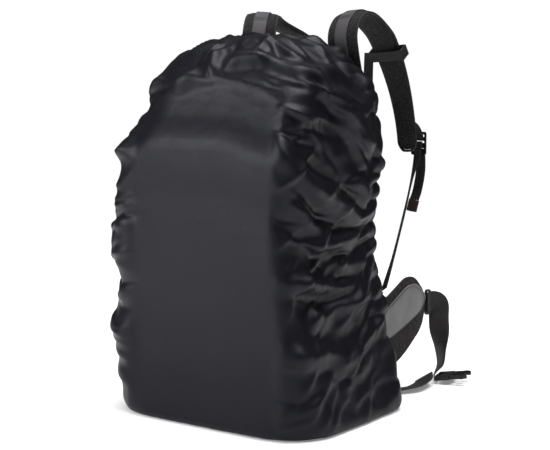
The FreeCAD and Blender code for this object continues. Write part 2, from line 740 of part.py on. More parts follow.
def build_hip_wing():
    """The padded wing, its grey overlay and the bar at its tip."""
    wing = new_body("hip_wing_right")
    side_view = new_sketch(wing, "wing_view", "YZ_Plane")
    corners = [(f"dims.wing_along_{n}", f"dims.wing_up_{n}") for n in range(len(WING_OUTLINE))]
    draw_outline(side_view, corners)
    pad(wing, side_view, "dims.wing_thick", midplane=True)
    soften(wing, "dims.wing_edge", lambda edge: abs(edge.tangentAt(edge.FirstParameter).x) < 0.5)
    overlay = new_body("hip_overlay_right")
    patch = new_sketch(overlay, "overlay_view", "YZ_Plane", "dims.wing_thick / 2 + 0.1")
    corners = [(f"dims.overlay_along_{n}", f"dims.overlay_up_{n}")
               for n in range(len(OVERLAY_OUTLINE))]
    draw_outline(patch, corners)
    pad(overlay, patch, "dims.overlay_thick")
    root = wing_place()
    bar = slotted_plate("hip_bar_right", "14", "48", "4", (("-20", "20", "3.6"),))
    turn = Rotation(Vector(0, 0, 1), 90 - size("dims.wing_turn"))
    bar.Placement = Placement(root.multVec(Vector(0, 179, 150)), turn)
    wing.Placement = root
    overlay.Placement = root
    return [wing, overlay, bar]


def build_hip_webbing():
    """The belt webbing hanging from the tip bar, and its tail along the floor."""
    start = wing_place().multVec(Vector(0, 196, 150))
    web, thick = size("dims.belt_web"), size("dims.belt_web_thick")
    webbing = ribbon("hip_webbing_right", (
        (start, (0, 0, 1)),
        (start + Vector(5, 11, -8), (0.5, 0.36, 0.8)),
        ((165, 346, 112), (0.81, 0.59, 0.15)),
        ((169, 346, 62), (0.91, -0.41, 0)),
        ((173, 340, 30), (0.7, -0.72, 0)),
        ((168.4, 325.6, 12), (0.24, -0.97, 0))), web, thick)
    tail = ribbon("hip_tail_right", (
        ((161, 298, 12), (0.9, -0.2, 0.35)),
        ((172, 276, 9), (0.95, 0, 0.3)),
        ((176, 234, 7.4), (0.97, -0.1, 0.22)),
        ((160, 206, 5.4), (0.8, -0.5, 0.12))), web, thick)
    return [webbing, tail]


def build_hip_buckles():
    """The two halves of the side-release buckle, lying on the floor."""
    centre = spot("hip_buckle")
    pieces = []
    for label, shape, sign in (("hip_buckle_male", "male", 1), ("hip_buckle_female", "female", -1)):
        half = buckle_half(label, "dims.belt_web", shape)
        yaw = size("dims.buckle_yaw") if sign > 0 else 180 - size("dims.buckle_yaw")
        turn = Rotation(Vector(0, 0, 1), yaw).multiply(
            Rotation(Vector(0, 1, 0), -size("dims.buckle_tilt")))
        half.Placement = Placement(Vector(centre.x * sign, centre.y, centre.z), turn)
        pieces.append(half)
    return pieces


# ---------------------------------------------------------------- whole object
def build_pack():
    """Every piece of the covered pack, as document objects."""
    pieces = build_cover()
    pieces += [build_main_bag(), stack("throat_collar", COLLAR_LEVELS),
               stack("top_lid", LID_LEVELS), stack("front_pocket", POCKET_LEVELS)]
    pieces += build_back() + build_lid_straps()
    keeper, buckles = build_sternum()
    paired = [stack("side_pocket_right", SIDE_POCKET_LEVELS)]
    paired += build_strap() + build_strap_hardware() + keeper
    paired += build_hip_wing() + build_hip_webbing()
    doc.recompute()
    twins = [mirror(piece.Label.replace("_right", "_left"), piece) for piece in paired]
    return pieces + paired + twins + buckles + build_hip_buckles()


def report_faults(pieces):
    """Names of objects that failed, and of pieces whose shape is unusable."""
    faults = [each.Label for each in doc.Objects
              if {"Invalid", "Error"} & set(each.State)]
    for piece in pieces:
        shape = piece.Shape
        if shape.isNull() or not shape.isValid() or shape.Volume <= 0 or not shape.Solids:
            faults.append(f"{piece.Label} shape")
    return faults


fill_sheet()
PIECES = build_pack()
doc.recompute()
FAULTS = report_faults(PIECES)
if FAULTS:
    raise RuntimeError("failed: " + ", ".join(FAULTS))
os.makedirs("parts", exist_ok=True)
for PIECE in PIECES:
    PIECE.Shape.exportStep(f"parts/{PIECE.Label}.step")
print(len(PIECES), "pieces written")
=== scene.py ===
"""A stuffed trekking backpack under its rain cover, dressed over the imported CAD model."""

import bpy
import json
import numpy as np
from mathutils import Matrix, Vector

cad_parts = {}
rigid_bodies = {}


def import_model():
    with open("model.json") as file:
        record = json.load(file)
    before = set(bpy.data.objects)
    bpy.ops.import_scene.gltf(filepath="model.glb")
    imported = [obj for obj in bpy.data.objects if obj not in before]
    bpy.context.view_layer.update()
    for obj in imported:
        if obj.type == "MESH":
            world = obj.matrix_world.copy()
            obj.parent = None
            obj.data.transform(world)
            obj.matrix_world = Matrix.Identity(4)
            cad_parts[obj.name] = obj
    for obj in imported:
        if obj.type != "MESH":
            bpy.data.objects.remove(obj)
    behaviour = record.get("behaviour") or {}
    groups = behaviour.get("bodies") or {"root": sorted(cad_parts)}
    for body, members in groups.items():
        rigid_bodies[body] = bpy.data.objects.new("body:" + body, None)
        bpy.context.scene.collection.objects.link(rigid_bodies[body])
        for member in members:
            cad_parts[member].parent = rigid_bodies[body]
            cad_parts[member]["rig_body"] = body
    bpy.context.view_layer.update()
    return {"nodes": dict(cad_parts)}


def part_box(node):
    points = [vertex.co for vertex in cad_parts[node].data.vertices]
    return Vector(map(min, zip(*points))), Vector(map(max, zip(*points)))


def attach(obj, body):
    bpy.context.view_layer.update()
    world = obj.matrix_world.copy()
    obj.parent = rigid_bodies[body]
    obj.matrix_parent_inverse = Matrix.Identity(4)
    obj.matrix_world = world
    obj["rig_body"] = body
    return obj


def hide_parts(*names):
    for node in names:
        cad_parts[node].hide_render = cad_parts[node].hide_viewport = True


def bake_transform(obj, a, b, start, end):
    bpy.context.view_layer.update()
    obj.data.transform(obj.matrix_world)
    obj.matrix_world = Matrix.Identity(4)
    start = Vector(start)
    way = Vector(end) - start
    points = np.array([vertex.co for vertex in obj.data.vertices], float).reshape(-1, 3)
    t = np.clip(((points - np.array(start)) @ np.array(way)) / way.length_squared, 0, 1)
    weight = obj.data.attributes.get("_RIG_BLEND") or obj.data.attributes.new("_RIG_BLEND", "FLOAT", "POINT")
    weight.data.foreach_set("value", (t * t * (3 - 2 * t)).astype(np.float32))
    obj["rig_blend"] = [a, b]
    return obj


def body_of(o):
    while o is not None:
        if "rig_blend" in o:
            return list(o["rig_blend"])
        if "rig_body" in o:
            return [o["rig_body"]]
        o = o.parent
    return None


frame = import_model()

import json
import math
import random

import bmesh
import bpy
import numpy as np
from mathutils import Matrix, Vector, noise
from mathutils.bvhtree import BVHTree

MM = 0.001
SIDES = (("right", 1), ("left", -1))


def mm(across, behind, up):
    """A point given in millimetres, as the frame's metres."""
    return Vector((across, behind, up)) * MM


def smooth_step(low, high, value):
    """0 at low, 1 at high and a soft S between them; low may be the larger one."""
    share = min(max((value - low) / (high - low), 0.0), 1.0)
    return share * share * (3 - 2 * share)


# ---------------------------------------------------------------- camera, stage and lights
CAMERA_AZIMUTH = 36.0
CAMERA_ELEVATION = 6.8
CAMERA_DISTANCE = 2.355
CAMERA_LENS = 88.6
CAMERA_TARGET = mm(25, 10, 317)
LIGHT_TARGET = mm(0, 0, 330)
FLOOR_HALF = 1.7
SURROUND_RADIUS = 8.9
WHITE = (1.0, 1.0, 1.0, 1.0)


def direction(azimuth, elevation):
    """Unit vector from the object towards a compass direction; 0 is the front, 90 is +X."""
    turn, rise = math.radians(azimuth), math.radians(elevation)
    return Vector((math.sin(turn) * math.cos(rise), -math.cos(turn) * math.cos(rise),
                   math.sin(rise)))


def look(thing, place, target):
    """Puts a camera or light at a place, facing a target."""
    thing.location = place
    thing.rotation_euler = (target - place).to_track_quat("-Z", "Y").to_euler()
    bpy.context.scene.collection.objects.link(thing)


def make_camera():
    data = bpy.data.cameras.new("camera")
    data.lens = CAMERA_LENS
    data.sensor_width = 36
    camera = bpy.data.objects.new("camera", data)
    place = CAMERA_TARGET + direction(CAMERA_AZIMUTH, CAMERA_ELEVATION) * CAMERA_DISTANCE
    look(camera, place, CAMERA_TARGET)
    bpy.context.scene.camera = camera


def lamp(name, kind, azimuth, elevation, distance, power, **settings):
    """A light that looks at the middle of the pack from a compass direction."""
    data = bpy.data.lights.new(name, kind)
    data.energy = power
    for key, value in settings.items():
        setattr(data, key, value)
    holder = bpy.data.objects.new(name, data)
    look(holder, LIGHT_TARGET + direction(azimuth, elevation) * distance, LIGHT_TARGET)


def make_stage():
    """A pale floor that runs into a white surround, with soft studio light."""
    scene = bpy.context.scene
    scene.view_settings.view_transform = "Standard"
    world = bpy.data.worlds.new("studio")
    world.use_nodes = True
    background = world.node_tree.nodes["Background"]
    background.inputs["Color"].default_value = WHITE
    background.inputs["Strength"].default_value = 0.04
    scene.world = world

    mesh = bpy.data.meshes.new("floor")
    half = FLOOR_HALF
    corners = [(-half, -half, 0), (half, -half, 0), (half, half, 0), (-half, half, 0)]
    mesh.from_pydata(corners, [], [(0, 1, 2, 3)])
    floor = bpy.data.objects.new("floor", mesh)
    scene.collection.objects.link(floor)
    paint = bpy.data.materials.new("floor_paper")
    paint.use_nodes = True
    shader = paint.node_tree.nodes["Principled BSDF"]
    for name, value in (("Base Color", (0.93, 0.93, 0.94, 1.0)), ("Roughness", 0.9),
                        ("Specular IOR Level", 0.1), ("Emission Color", WHITE),
                        ("Emission Strength", 0.2)):
        shader.inputs[name].default_value = value
    floor.data.materials.append(paint)

    bpy.ops.mesh.primitive_uv_sphere_add(segments=48, ring_count=24, radius=SURROUND_RADIUS)
    surround = bpy.context.object
    surround.name = "surround"
    glow = bpy.data.materials.new("surround_glow")
    glow.use_nodes = True
    nodes = glow.node_tree.nodes
    nodes.clear()
    emission = nodes.new("ShaderNodeEmission")
    emission.inputs["Strength"].default_value = 1.02
    output = nodes.new("ShaderNodeOutputMaterial")
    glow.node_tree.links.new(emission.outputs[0], output.inputs["Surface"])
    surround.data.materials.append(glow)
    for kind in ("diffuse", "glossy", "transmission", "volume_scatter", "shadow"):
        setattr(surround, f"visible_{kind}", False)

    lamp("key", "AREA", -26, 20, 1.6, 20, shape="RECTANGLE", size=1.2, size_y=1.0)
    lamp("overhead", "SUN", 130, 82, 3.0, 3.5, angle=math.radians(50))
    lamp("fold_light", "AREA", 98, 44, 2.2, 3.2, shape="RECTANGLE", size=0.5, size_y=1.1)


# ---------------------------------------------------------------- materials
class Shades:
    """Builds one material's node tree; every pattern works in the piece's own metres."""

    def __init__(self, name, colour, roughness, metallic=0.0, specular=0.5, sheen=0.0):
        self.material = bpy.data.materials.new(name)
        self.material.use_nodes = True
        self.tree = self.material.node_tree
        self.shader = self.tree.nodes["Principled BSDF"]
        for key, value in (("Base Color", (*colour, 1.0)), ("Roughness", roughness),
                           ("Metallic", metallic), ("Specular IOR Level", specular),
                           ("Sheen Weight", sheen)):
            self.shader.inputs[key].default_value = value
        self.colour = colour
        self.place = self.node("TexCoord").outputs["Object"]
        self.bumps = None

    def node(self, kind, **settings):
        made = self.tree.nodes.new(f"ShaderNode{kind}")
        for key, value in settings.items():
            setattr(made, key, value)
        return made

    def link(self, start, end):
        self.tree.links.new(start, end)

    def noise(self, scale, detail=3.0, stretch=(1, 1, 1)):
        mapping = self.node("Mapping")
        mapping.inputs["Scale"].default_value = stretch
        self.link(self.place, mapping.inputs["Vector"])
        made = self.node("TexNoise")
        made.inputs["Scale"].default_value = scale
        made.inputs["Detail"].default_value = detail
        made.inputs["Roughness"].default_value = 0.55
        self.link(mapping.outputs[0], made.inputs["Vector"])
        return made.outputs["Fac"]

    def waves(self, pitch, axis, shape="SIN"):
        """Threads or ribs that repeat every pitch millimetres along an axis."""
        made = self.node("TexWave", wave_type="BANDS", bands_direction=axis, wave_profile=shape)
        made.inputs["Scale"].default_value = math.pi / (10 * pitch * MM)
        self.link(self.place, made.inputs["Vector"])
        return made.outputs["Fac"]

    def remap(self, value, start, end, low, high, **settings):
        """low where the value is start or less, high where it is end or more."""
        made = self.node("MapRange", **settings)
        for name, number in zip(("From Min", "From Max", "To Min", "To Max"),
                                (start, end, low, high)):
            made.inputs[name].default_value = number
        self.link(value, made.inputs["Value"])
        return made.outputs["Result"]

    def ramp(self, axis, start, end, low, high):
        """low before start, high after end, along one axis of the piece, in metres."""
        parts = self.node("SeparateXYZ")
        self.link(self.place, parts.inputs[0])
        return self.remap(parts.outputs[axis], start, end, low, high,
                          interpolation_type="SMOOTHSTEP")

    def mix(self, first, second, kind="MULTIPLY"):
        made = self.node("Math", operation=kind)
        for index, value in enumerate((first, second)):
            if isinstance(value, (int, float)):
                made.inputs[index].default_value = value
            else:
                self.link(value, made.inputs[index])
        return made.outputs[0]

    def bump(self, height, depth):
        """Adds relief: depth is in millimetres for a height of 1."""
        made = self.node("Bump")
        made.inputs["Strength"].default_value = 1.0
        made.inputs["Distance"].default_value = depth * MM
        self.link(height, made.inputs["Height"])
        if self.bumps is not None:
            self.link(self.bumps, made.inputs["Normal"])
        self.bumps = made.outputs["Normal"]
        self.link(self.bumps, self.shader.inputs["Normal"])

    def vary_colour(self, share, dark, light):
        """Blends from dark to light times the base colour."""
        ramp = self.node("ValToRGB")
        for stop, factor in zip(ramp.color_ramp.elements, (dark, light)):
            stop.color = (*[min(c * factor, 1.0) for c in self.colour], 1.0)
        ramp.color_ramp.elements[0].position = 0.3
        ramp.color_ramp.elements[1].position = 0.7
        self.link(share, ramp.inputs["Fac"])
        self.link(ramp.outputs["Color"], self.shader.inputs["Base Color"])

    def vary_roughness(self, share, low, high):
        self.link(self.remap(share, 0.3, 0.7, low, high), self.shader.inputs["Roughness"])


def coated_nylon():
    """Thin coated taffeta: satin sheen, fine plain weave, and creases where it hangs loose."""
    cloth = Shades("coated_nylon", (0.006, 0.0062, 0.0092), 0.42, specular=0.25)
    cloth.shader.inputs["Specular Tint"].default_value = (0.9, 0.91, 1.0, 1.0)
    cloth.vary_colour(cloth.noise(7.0, 4.0), 0.88, 1.12)
    cloth.vary_roughness(cloth.noise(28.0, 5.0), 0.38, 0.5)
    # Painted shade: the sheen is turned down towards the bottom, so the lower part of the cover reads
    # darker.
    cloth.link(cloth.ramp("Z", 0.02, 0.3, 0.15, 0.25), cloth.shader.inputs["Specular IOR Level"])
    weave = cloth.mix(cloth.waves(0.9, "X"), cloth.waves(0.9, "Z"), "ADD")
    cloth.bump(cloth.mix(weave, cloth.waves(0.9, "Y"), "ADD"), 0.02)
    cloth.bump(cloth.noise(34.0, 4.0, (1, 1, 0.8)), 0.9)
    loose = cloth.ramp("Y", -0.186, -0.14, 0.0, 1.0)
    centred = cloth.mix(cloth.noise(19.0, 1.0, (1.0, 0.6, 1.2)), 0.5, "SUBTRACT")
    ridge = cloth.mix(1.0, cloth.mix(cloth.mix(centred, 0.0, "ABSOLUTE"), 5.0), "SUBTRACT")
    cloth.bump(cloth.mix(cloth.mix(ridge, 0.0, "MAXIMUM"), loose), 0.6)
    return cloth.material


def pack_nylon():
    """Heavier textured pack cloth."""
    cloth = Shades("pack_nylon", (0.022, 0.022, 0.026), 0.62, specular=0.35)
    cloth.vary_colour(cloth.noise(9.0, 4.0), 0.85, 1.15)
    threads = cloth.mix(cloth.waves(1.5, "X"), cloth.waves(1.5, "Z"), "ADD")
    cloth.bump(threads, 0.09)
    cloth.bump(cloth.noise(48.0, 4.0), 0.9)
    return cloth.material


def air_mesh(name, colour):
    """Knitted spacer mesh over foam: small dark cells in a matte face."""
    cloth = Shades(name, colour, 0.85, specular=0.14, sheen=0.04)
    cells = cloth.node("TexVoronoi", feature="F1")
    cells.inputs["Scale"].default_value = 380.0
    cloth.link(cloth.place, cells.inputs["Vector"])
    cloth.vary_colour(cells.outputs["Distance"], 0.5, 1.5)
    cloth.bump(cells.outputs["Distance"], 0.8)
    cloth.bump(cloth.noise(40.0, 3.0), 0.7)
    return cloth.material


def webbing(name, colour):
    """Woven strap: ribs across it and a fine thread along it."""
    cloth = Shades(name, colour, 0.55, specular=0.26)
    cloth.vary_colour(cloth.noise(60.0, 4.0), 0.85, 1.2)
    ribs = cloth.mix(cloth.waves(1.8, "Z"), cloth.waves(1.6, "X"), "ADD")
    cloth.bump(cloth.mix(ribs, cloth.waves(1.8, "Y"), "ADD"), 0.14)
    cloth.bump(cloth.noise(240.0, 2.0), 0.15)
    return cloth.material


def moulded_plastic():
    """Black acetal: satin with a fine spark-eroded grain and rubbed edges."""
    plastic = Shades("moulded_plastic", (0.011, 0.011, 0.012), 0.42, specular=0.36)
    plastic.vary_roughness(plastic.noise(120.0, 4.0), 0.28, 0.5)
    plastic.bump(plastic.noise(900.0, 2.0), 0.06)
    wear = plastic.node("NewGeometry").outputs["Pointiness"]
    plastic.vary_colour(plastic.mix(wear, plastic.noise(90.0)), 0.9, 1.7)
    return plastic.material


def grey_nylon():
    """Light grey packcloth with a faint ripstop grid."""
    cloth = Shades("grey_nylon", (0.18, 0.18, 0.183), 0.55, specular=0.4)
    cloth.vary_colour(cloth.noise(22.0, 5.0), 0.82, 1.16)
    grid = cloth.mix(cloth.waves(5.0, "Y", "SAW"), cloth.waves(5.0, "Z", "SAW"), "MAXIMUM")
    cloth.bump(grid, 0.1)
    cloth.bump(cloth.noise(60.0, 4.0), 1.1)
    return cloth.material


def thread():
    """Bonded sewing thread."""
    twist = Shades("thread", (0.05, 0.05, 0.053), 0.5)
    twist.vary_colour(twist.noise(500.0, 2.0), 0.8, 1.3)
    twist.bump(twist.waves(0.8, "DIAGONAL"), 0.15)
    return twist.material


def brushed_alloy():
    """Drawn aluminium with fine marks along its length."""
    alloy = Shades("brushed_alloy", (0.72, 0.73, 0.75), 0.34, metallic=1.0)
    alloy.vary_roughness(alloy.noise(80.0, 4.0, (12, 12, 1)), 0.24, 0.44)
    alloy.bump(alloy.noise(160.0, 3.0, (14, 14, 1)), 0.05)
    return alloy.material


def frame_plastic():
    """Dark grey extruded sheet."""
    plastic = Shades("frame_plastic", (0.06, 0.06, 0.065), 0.5)
    plastic.vary_colour(plastic.noise(30.0, 4.0), 0.85, 1.2)
    plastic.bump(plastic.noise(420.0, 3.0), 0.12)
    return plastic.material


def elastic_band():
    """Knitted rubber band with ribs along its length."""
    band = Shades("elastic_band", (0.02, 0.02, 0.021), 0.75, specular=0.3)
    band.vary_colour(band.noise(90.0, 3.0), 0.8, 1.3)
    band.bump(band.waves(1.2, "Y"), 0.25)
    return band.material


MATERIALS = {
    "cover_nylon": coated_nylon(),
    "elastic": elastic_band(),
    "pack_nylon": pack_nylon(),
    "frame_alloy": brushed_alloy(),
    "frame_plastic": frame_plastic(),
    "back_mesh": air_mesh("back_mesh", (0.024, 0.024, 0.025)),
    "belt_foam": air_mesh("belt_foam", (0.031, 0.027, 0.027)),
    "grey_nylon": grey_nylon(),
    "black_webbing": webbing("black_webbing", (0.025, 0.0225, 0.023)),
    "grey_webbing": webbing("grey_webbing", (0.085, 0.08, 0.088)),
    "tab_binding": webbing("tab_binding", (0.06, 0.03, 0.03)),
    "buckle_plastic": moulded_plastic(),
    "thread": thread(),
}


# ---------------------------------------------------------------- mesh helpers
def new_piece(name, verts, faces, slot, body, material=None):
    """A mesh object in the row frame that rides on a CAD body."""
    mesh = bpy.data.meshes.new(name)
    mesh.from_pydata([tuple(v) for v in verts], [], faces)
    mesh.validate()
    piece = bpy.data.objects.new(name, mesh)
    bpy.context.scene.collection.objects.link(piece)
    mesh.materials.append(material or MATERIALS[slot])
    for polygon in mesh.polygons:
        polygon.use_smooth = True
    if body:
        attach(piece, body)
    return piece


def grid_faces(rows, columns, closed=True):
    """Quads between consecutive rows of points."""
    faces = []
    for row in range(rows - 1):
        for column in range(columns if closed else columns - 1):
            following = (column + 1) % columns
            faces.append((row * columns + column, row * columns + following,
                          (row + 1) * columns + following, (row + 1) * columns + column))
    return faces


def end_caps(total, count):
    """The two end faces of a tube: its first and its last ring of count points."""
    return [tuple(reversed(range(count))), tuple(range(total - count, total))]


def apply_modifiers(piece):
    """Bakes the piece's modifiers into its mesh."""
    graph = bpy.context.evaluated_depsgraph_get()
    mesh = bpy.data.meshes.new_from_object(piece.evaluated_get(graph))
    old = piece.data
    piece.modifiers.clear()
    piece.data = mesh
    bpy.data.meshes.remove(old)


def add_modifier(piece, kind, **settings):
    modifier = piece.modifiers.new(kind.lower(), kind)
    for key, value in settings.items():
        setattr(modifier, key, value)
    return modifier


def turn_outwards(mesh):
    """Makes all the normals of a closed mesh point out of it."""
    work = bmesh.new()
    work.from_mesh(mesh)
    bmesh.ops.recalc_face_normals(work, faces=work.faces)
    work.to_mesh(mesh)
    work.free()


# ---------------------------------------------------------------- rain cover form
# The stuffed shape that fills the cover, in millimetres, one row per height: reach to the
# left, right, front and back, then the radius of the front left, front right and rear corners.
COVER_FORM = (
    (0, 170, 230, 194, 124, 80, 98, 40),
    (8, 180, 234, 200, 128, 84, 94, 44),
    (26, 190, 230, 198, 131, 88, 82, 46),
    (58, 199, 221, 194, 131, 90, 58, 48),
    (90, 204, 213, 191, 131, 92, 38, 50),
    (130, 206, 206, 190, 131, 92, 30, 52),
    (190, 206, 192, 190, 130, 92, 27, 54),
    (260, 210, 183, 191, 129, 94, 27, 56),
    (330, 202, 179, 190, 129, 90, 27, 56),
    (385, 197, 181, 188, 130, 88, 27, 54),
    (415, 194, 186, 189, 130, 88, 30, 52),
    (445, 188, 188, 189, 130, 88, 32, 54),
    (470, 181, 188, 187, 129, 92, 34, 56),
    (488, 176, 188, 179, 128, 98, 36, 57),
    (512, 170, 187, 165, 128, 104, 38, 58),
    (545, 166, 185, 152, 127, 104, 40, 60),
    (577, 151, 163, 140, 126, 94, 50, 60),
    (602, 132, 137, 123, 120, 66, 60, 56),
    (626, 104, 104, 95, 108, 56, 54, 46),
    (640, 74, 72, 62, 88, 42, 40, 34),
    (647, 34, 36, 28, 60, 20, 20, 18),
)
SEAM_FRONT = -150 * MM
HEM_START = 70 * MM
SPINE = (8 * MM, 180 * MM, 455 * MM)
FRONT_ROWS, GUSSET_ROWS, HEM_ROWS = 26, 36, 14
AROUND = 264
FORM_LEVELS = 96
CORNER_STEPS, SIDE_STEPS = 14, 12
RAYS = 240


def form_row(height):
    """The table's numbers at a height, joined by a smooth curve, in metres."""
    level = height / MM
    last = len(COVER_FORM) - 2
    index = 0
    while index < last and COVER_FORM[index + 1][0] < level:
        index += 1
    rows = [COVER_FORM[min(max(index + step, 0), last + 1)] for step in (-1, 0, 1, 2)]
    low, high = rows[1], rows[2]
    span = high[0] - low[0]
    share = min(max((level - low[0]) / span, 0.0), 1.0)
    values = []
    for column in range(1, 8):
        slopes = []
        for before, after in ((rows[0], rows[2]), (rows[1], rows[3])):
            run = max(after[0] - before[0], 1)
            slopes.append((after[column] - before[column]) / run * span)
        a, b = low[column], high[column]
        square, cube = share ** 2, share ** 3
        values.append(((2 * cube - 3 * square + 1) * a + (cube - 2 * square + share) * slopes[0]
                       + (3 * square - 2 * cube) * b + (cube - square) * slopes[1]) * MM)
    return values


def pocket_step(point, height, front):
    """The pocket's top step sits lower towards both of its ends: scale for the front reach."""
    if point.y > 0 or height < 0.3:
        return 1.0
    fall = (24 * smooth_step(50 * MM, 165 * MM, point.x)
            + 12 * smooth_step(-60 * MM, -130 * MM, point.x)) * MM
    reach = form_row(min(height + fall, COVER_FORM[-1][0] * MM))[2]
    return 1 + (reach / front - 1) * smooth_step(0, -front, point.y)


def form_loop(height):
    """Rounded outline of the stuffed shape at a height, with a softly crowned front."""
    left, right, front, back, corner_fl, corner_fr, corner_back = form_row(height)
    corners = (
        (right, -front, corner_fr, -90), (right, back, corner_back, 0),
        (-left, back, corner_back, 90), (-left, -front, corner_fl, 180))
    points = []
    for x, y, radius, start in corners:
        centre = Vector((x - math.copysign(radius, x), y - math.copysign(radius, y)))
        for step in range(CORNER_STEPS + 1):
            angle = math.radians(start + 90 * step / CORNER_STEPS)
            points.append(centre + Vector((math.cos(angle), math.sin(angle))) * radius)
    loop = []
    for number, point in enumerate(points):
        loop.append(Vector((*point, height)))
        following = points[(number + 1) % len(points)]
        if number % (CORNER_STEPS + 1) == CORNER_STEPS:
            for step in range(1, SIDE_STEPS):
                loop.append(Vector((*point.lerp(following, step / SIDE_STEPS), height)))
    for point in loop:
        point.y *= pocket_step(point, height, front)
    return loop


def form_mesh():
    """Points and faces of the closed stuffed shape, its levels closer at both ends."""
    top = COVER_FORM[-1][0] * MM
    points, count = [], 0
    for level in range(FORM_LEVELS + 1):
        share = level / FORM_LEVELS
        eased = (1 - math.cos(math.pi * share)) / 2
        loop = form_loop(top * (0.5 * share + 0.5 * eased))
        count = len(loop)
        points += loop
    return points, grid_faces(FORM_LEVELS + 1, count) + end_caps(len(points), count)


def outline_point(share):
    """A point of the cover's front outline, by its share of the way round."""
    half, low, high = 168 * MM, 20 * MM, 625 * MM
    turn_low, turn_high = 60 * MM, 120 * MM
    centre = SPINE[0]
    runs = (
        ("line", (half, low + turn_low), (half, high - turn_high)),
        ("arc", (half - turn_high, high - turn_high), turn_high, 0),
        ("line", (half - turn_high, high), (-half + turn_high, high)),
        ("arc", (-half + turn_high, high - turn_high), turn_high, 90),
        ("line", (-half, high - turn_high), (-half, low + turn_low)),
        ("arc", (-half + turn_low, low + turn_low), turn_low, 180),
        ("line", (-half + turn_low, low), (half - turn_low, low)),
        ("arc", (half - turn_low, low + turn_low), turn_low, 270),
    )
    lengths = []
    for run in runs:
        if run[0] == "line":
            lengths.append(math.dist(run[1], run[2]))
        else:
            lengths.append(run[2] * math.pi / 2)
    travel = share * sum(lengths)
    for run, length in zip(runs, lengths):
        if travel <= length:
            break
        travel -= length
    if run[0] == "line":
        spot = Vector(run[1]).lerp(Vector(run[2]), travel / length)
    else:
        angle = math.radians(run[3]) + travel / run[2]
        spot = Vector(run[1]) + Vector((math.cos(angle), math.sin(angle))) * run[2]
    return Vector((spot.x + centre, spot.y))


def ring_reach(base, heading):
    """Distance from the spine to the elastic hem along a heading in the XZ plane."""
    low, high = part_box("hem_elastic")
    middle = Vector(((low[0] + high[0]) / 2, (low[2] + high[2]) / 2))
    half = Vector(((high[0] - low[0]) / 2, (high[2] - low[2]) / 2)) - Vector((3, 3)) * MM
    reach = 0.0
    while reach < 0.5:
        spot = base + heading * reach - middle
        turn = (100 if spot.y > 0 else 48) * MM
        over = Vector((max(abs(spot.x) - half.x + turn, 0), max(abs(spot.y) - half.y + turn, 0)))
        if over.length >= turn:
            break
        reach += 1 * MM
    return reach


def resample(points, count):
    """The polyline's points, spaced evenly."""
    lengths = [0.0]
    for before, after in zip(points, points[1:]):
        lengths.append(lengths[-1] + (after - before).length)
    result, index = [], 0
    for step in range(count):
        travel = lengths[-1] * step / (count - 1)
        while index < len(points) - 2 and lengths[index + 1] < travel:
            index += 1
        span = max(lengths[index + 1] - lengths[index], 1e-9)
        result.append(points[index].lerp(points[index + 1], (travel - lengths[index]) / span))
    return result


def cover_rows(tree):
    """Rows of points from the middle of the front, out over the sides and in to the hem."""
    columns = []
    for number in range(AROUND):
        target = outline_point(number / AROUND)
        base = Vector((SPINE[0], min(max(target.y, SPINE[1]), SPINE[2])))
        heading = (target - base).normalized()
        limit = ring_reach(base, heading)
        origin = Vector((base.x, 0, base.y))
        path = []
        for step in range(RAYS + 1):
            angle = math.radians(-90 + 180 * step / RAYS)
            ray = Vector((heading.x * math.cos(angle), math.sin(angle),
                          heading.y * math.cos(angle)))
            hit = tree.ray_cast(origin, ray)[0]
            reach = math.hypot(hit.x - base.x, hit.z - base.y)
            if angle > 0 and hit.y > 0.1 and reach < limit:
                break
            path.append(hit)
        cut_front = next(i for i, p in enumerate(path) if p.y > SEAM_FRONT)
        cut_hem = next(i for i, p in enumerate(path) if p.y > HEM_START)
        column = resample(path[:cut_front + 1], FRONT_ROWS + 1)
        column += resample(path[cut_front:cut_hem + 1], GUSSET_ROWS + 1)[1:]
        column += resample(path[cut_hem:], HEM_ROWS + 1)[1:]
        columns.append(column)
    return [[column[row] for column in columns] for row in range(len(columns[0]))]


# ---------------------------------------------------------------- rain cover cloth
CLOTH_FRAMES = 30
GATHERS = 48
COVER_SKIN = 0.7 * MM
STILL_ROWS = 14
CLOTH_GAP = 2 * MM
FLOOR_GAP = 0.3 * MM
COATED_CLOTH = {
    "quality": 6, "mass": 0.12, "tension_stiffness": 40, "compression_stiffness": 40,
    "shear_stiffness": 10, "bending_stiffness": 5, "tension_damping": 8,
    "compression_damping": 8, "bending_damping": 0.6, "air_damping": 2.5, "shrink_min": 0.0,
    "shrink_max": -0.32,
}
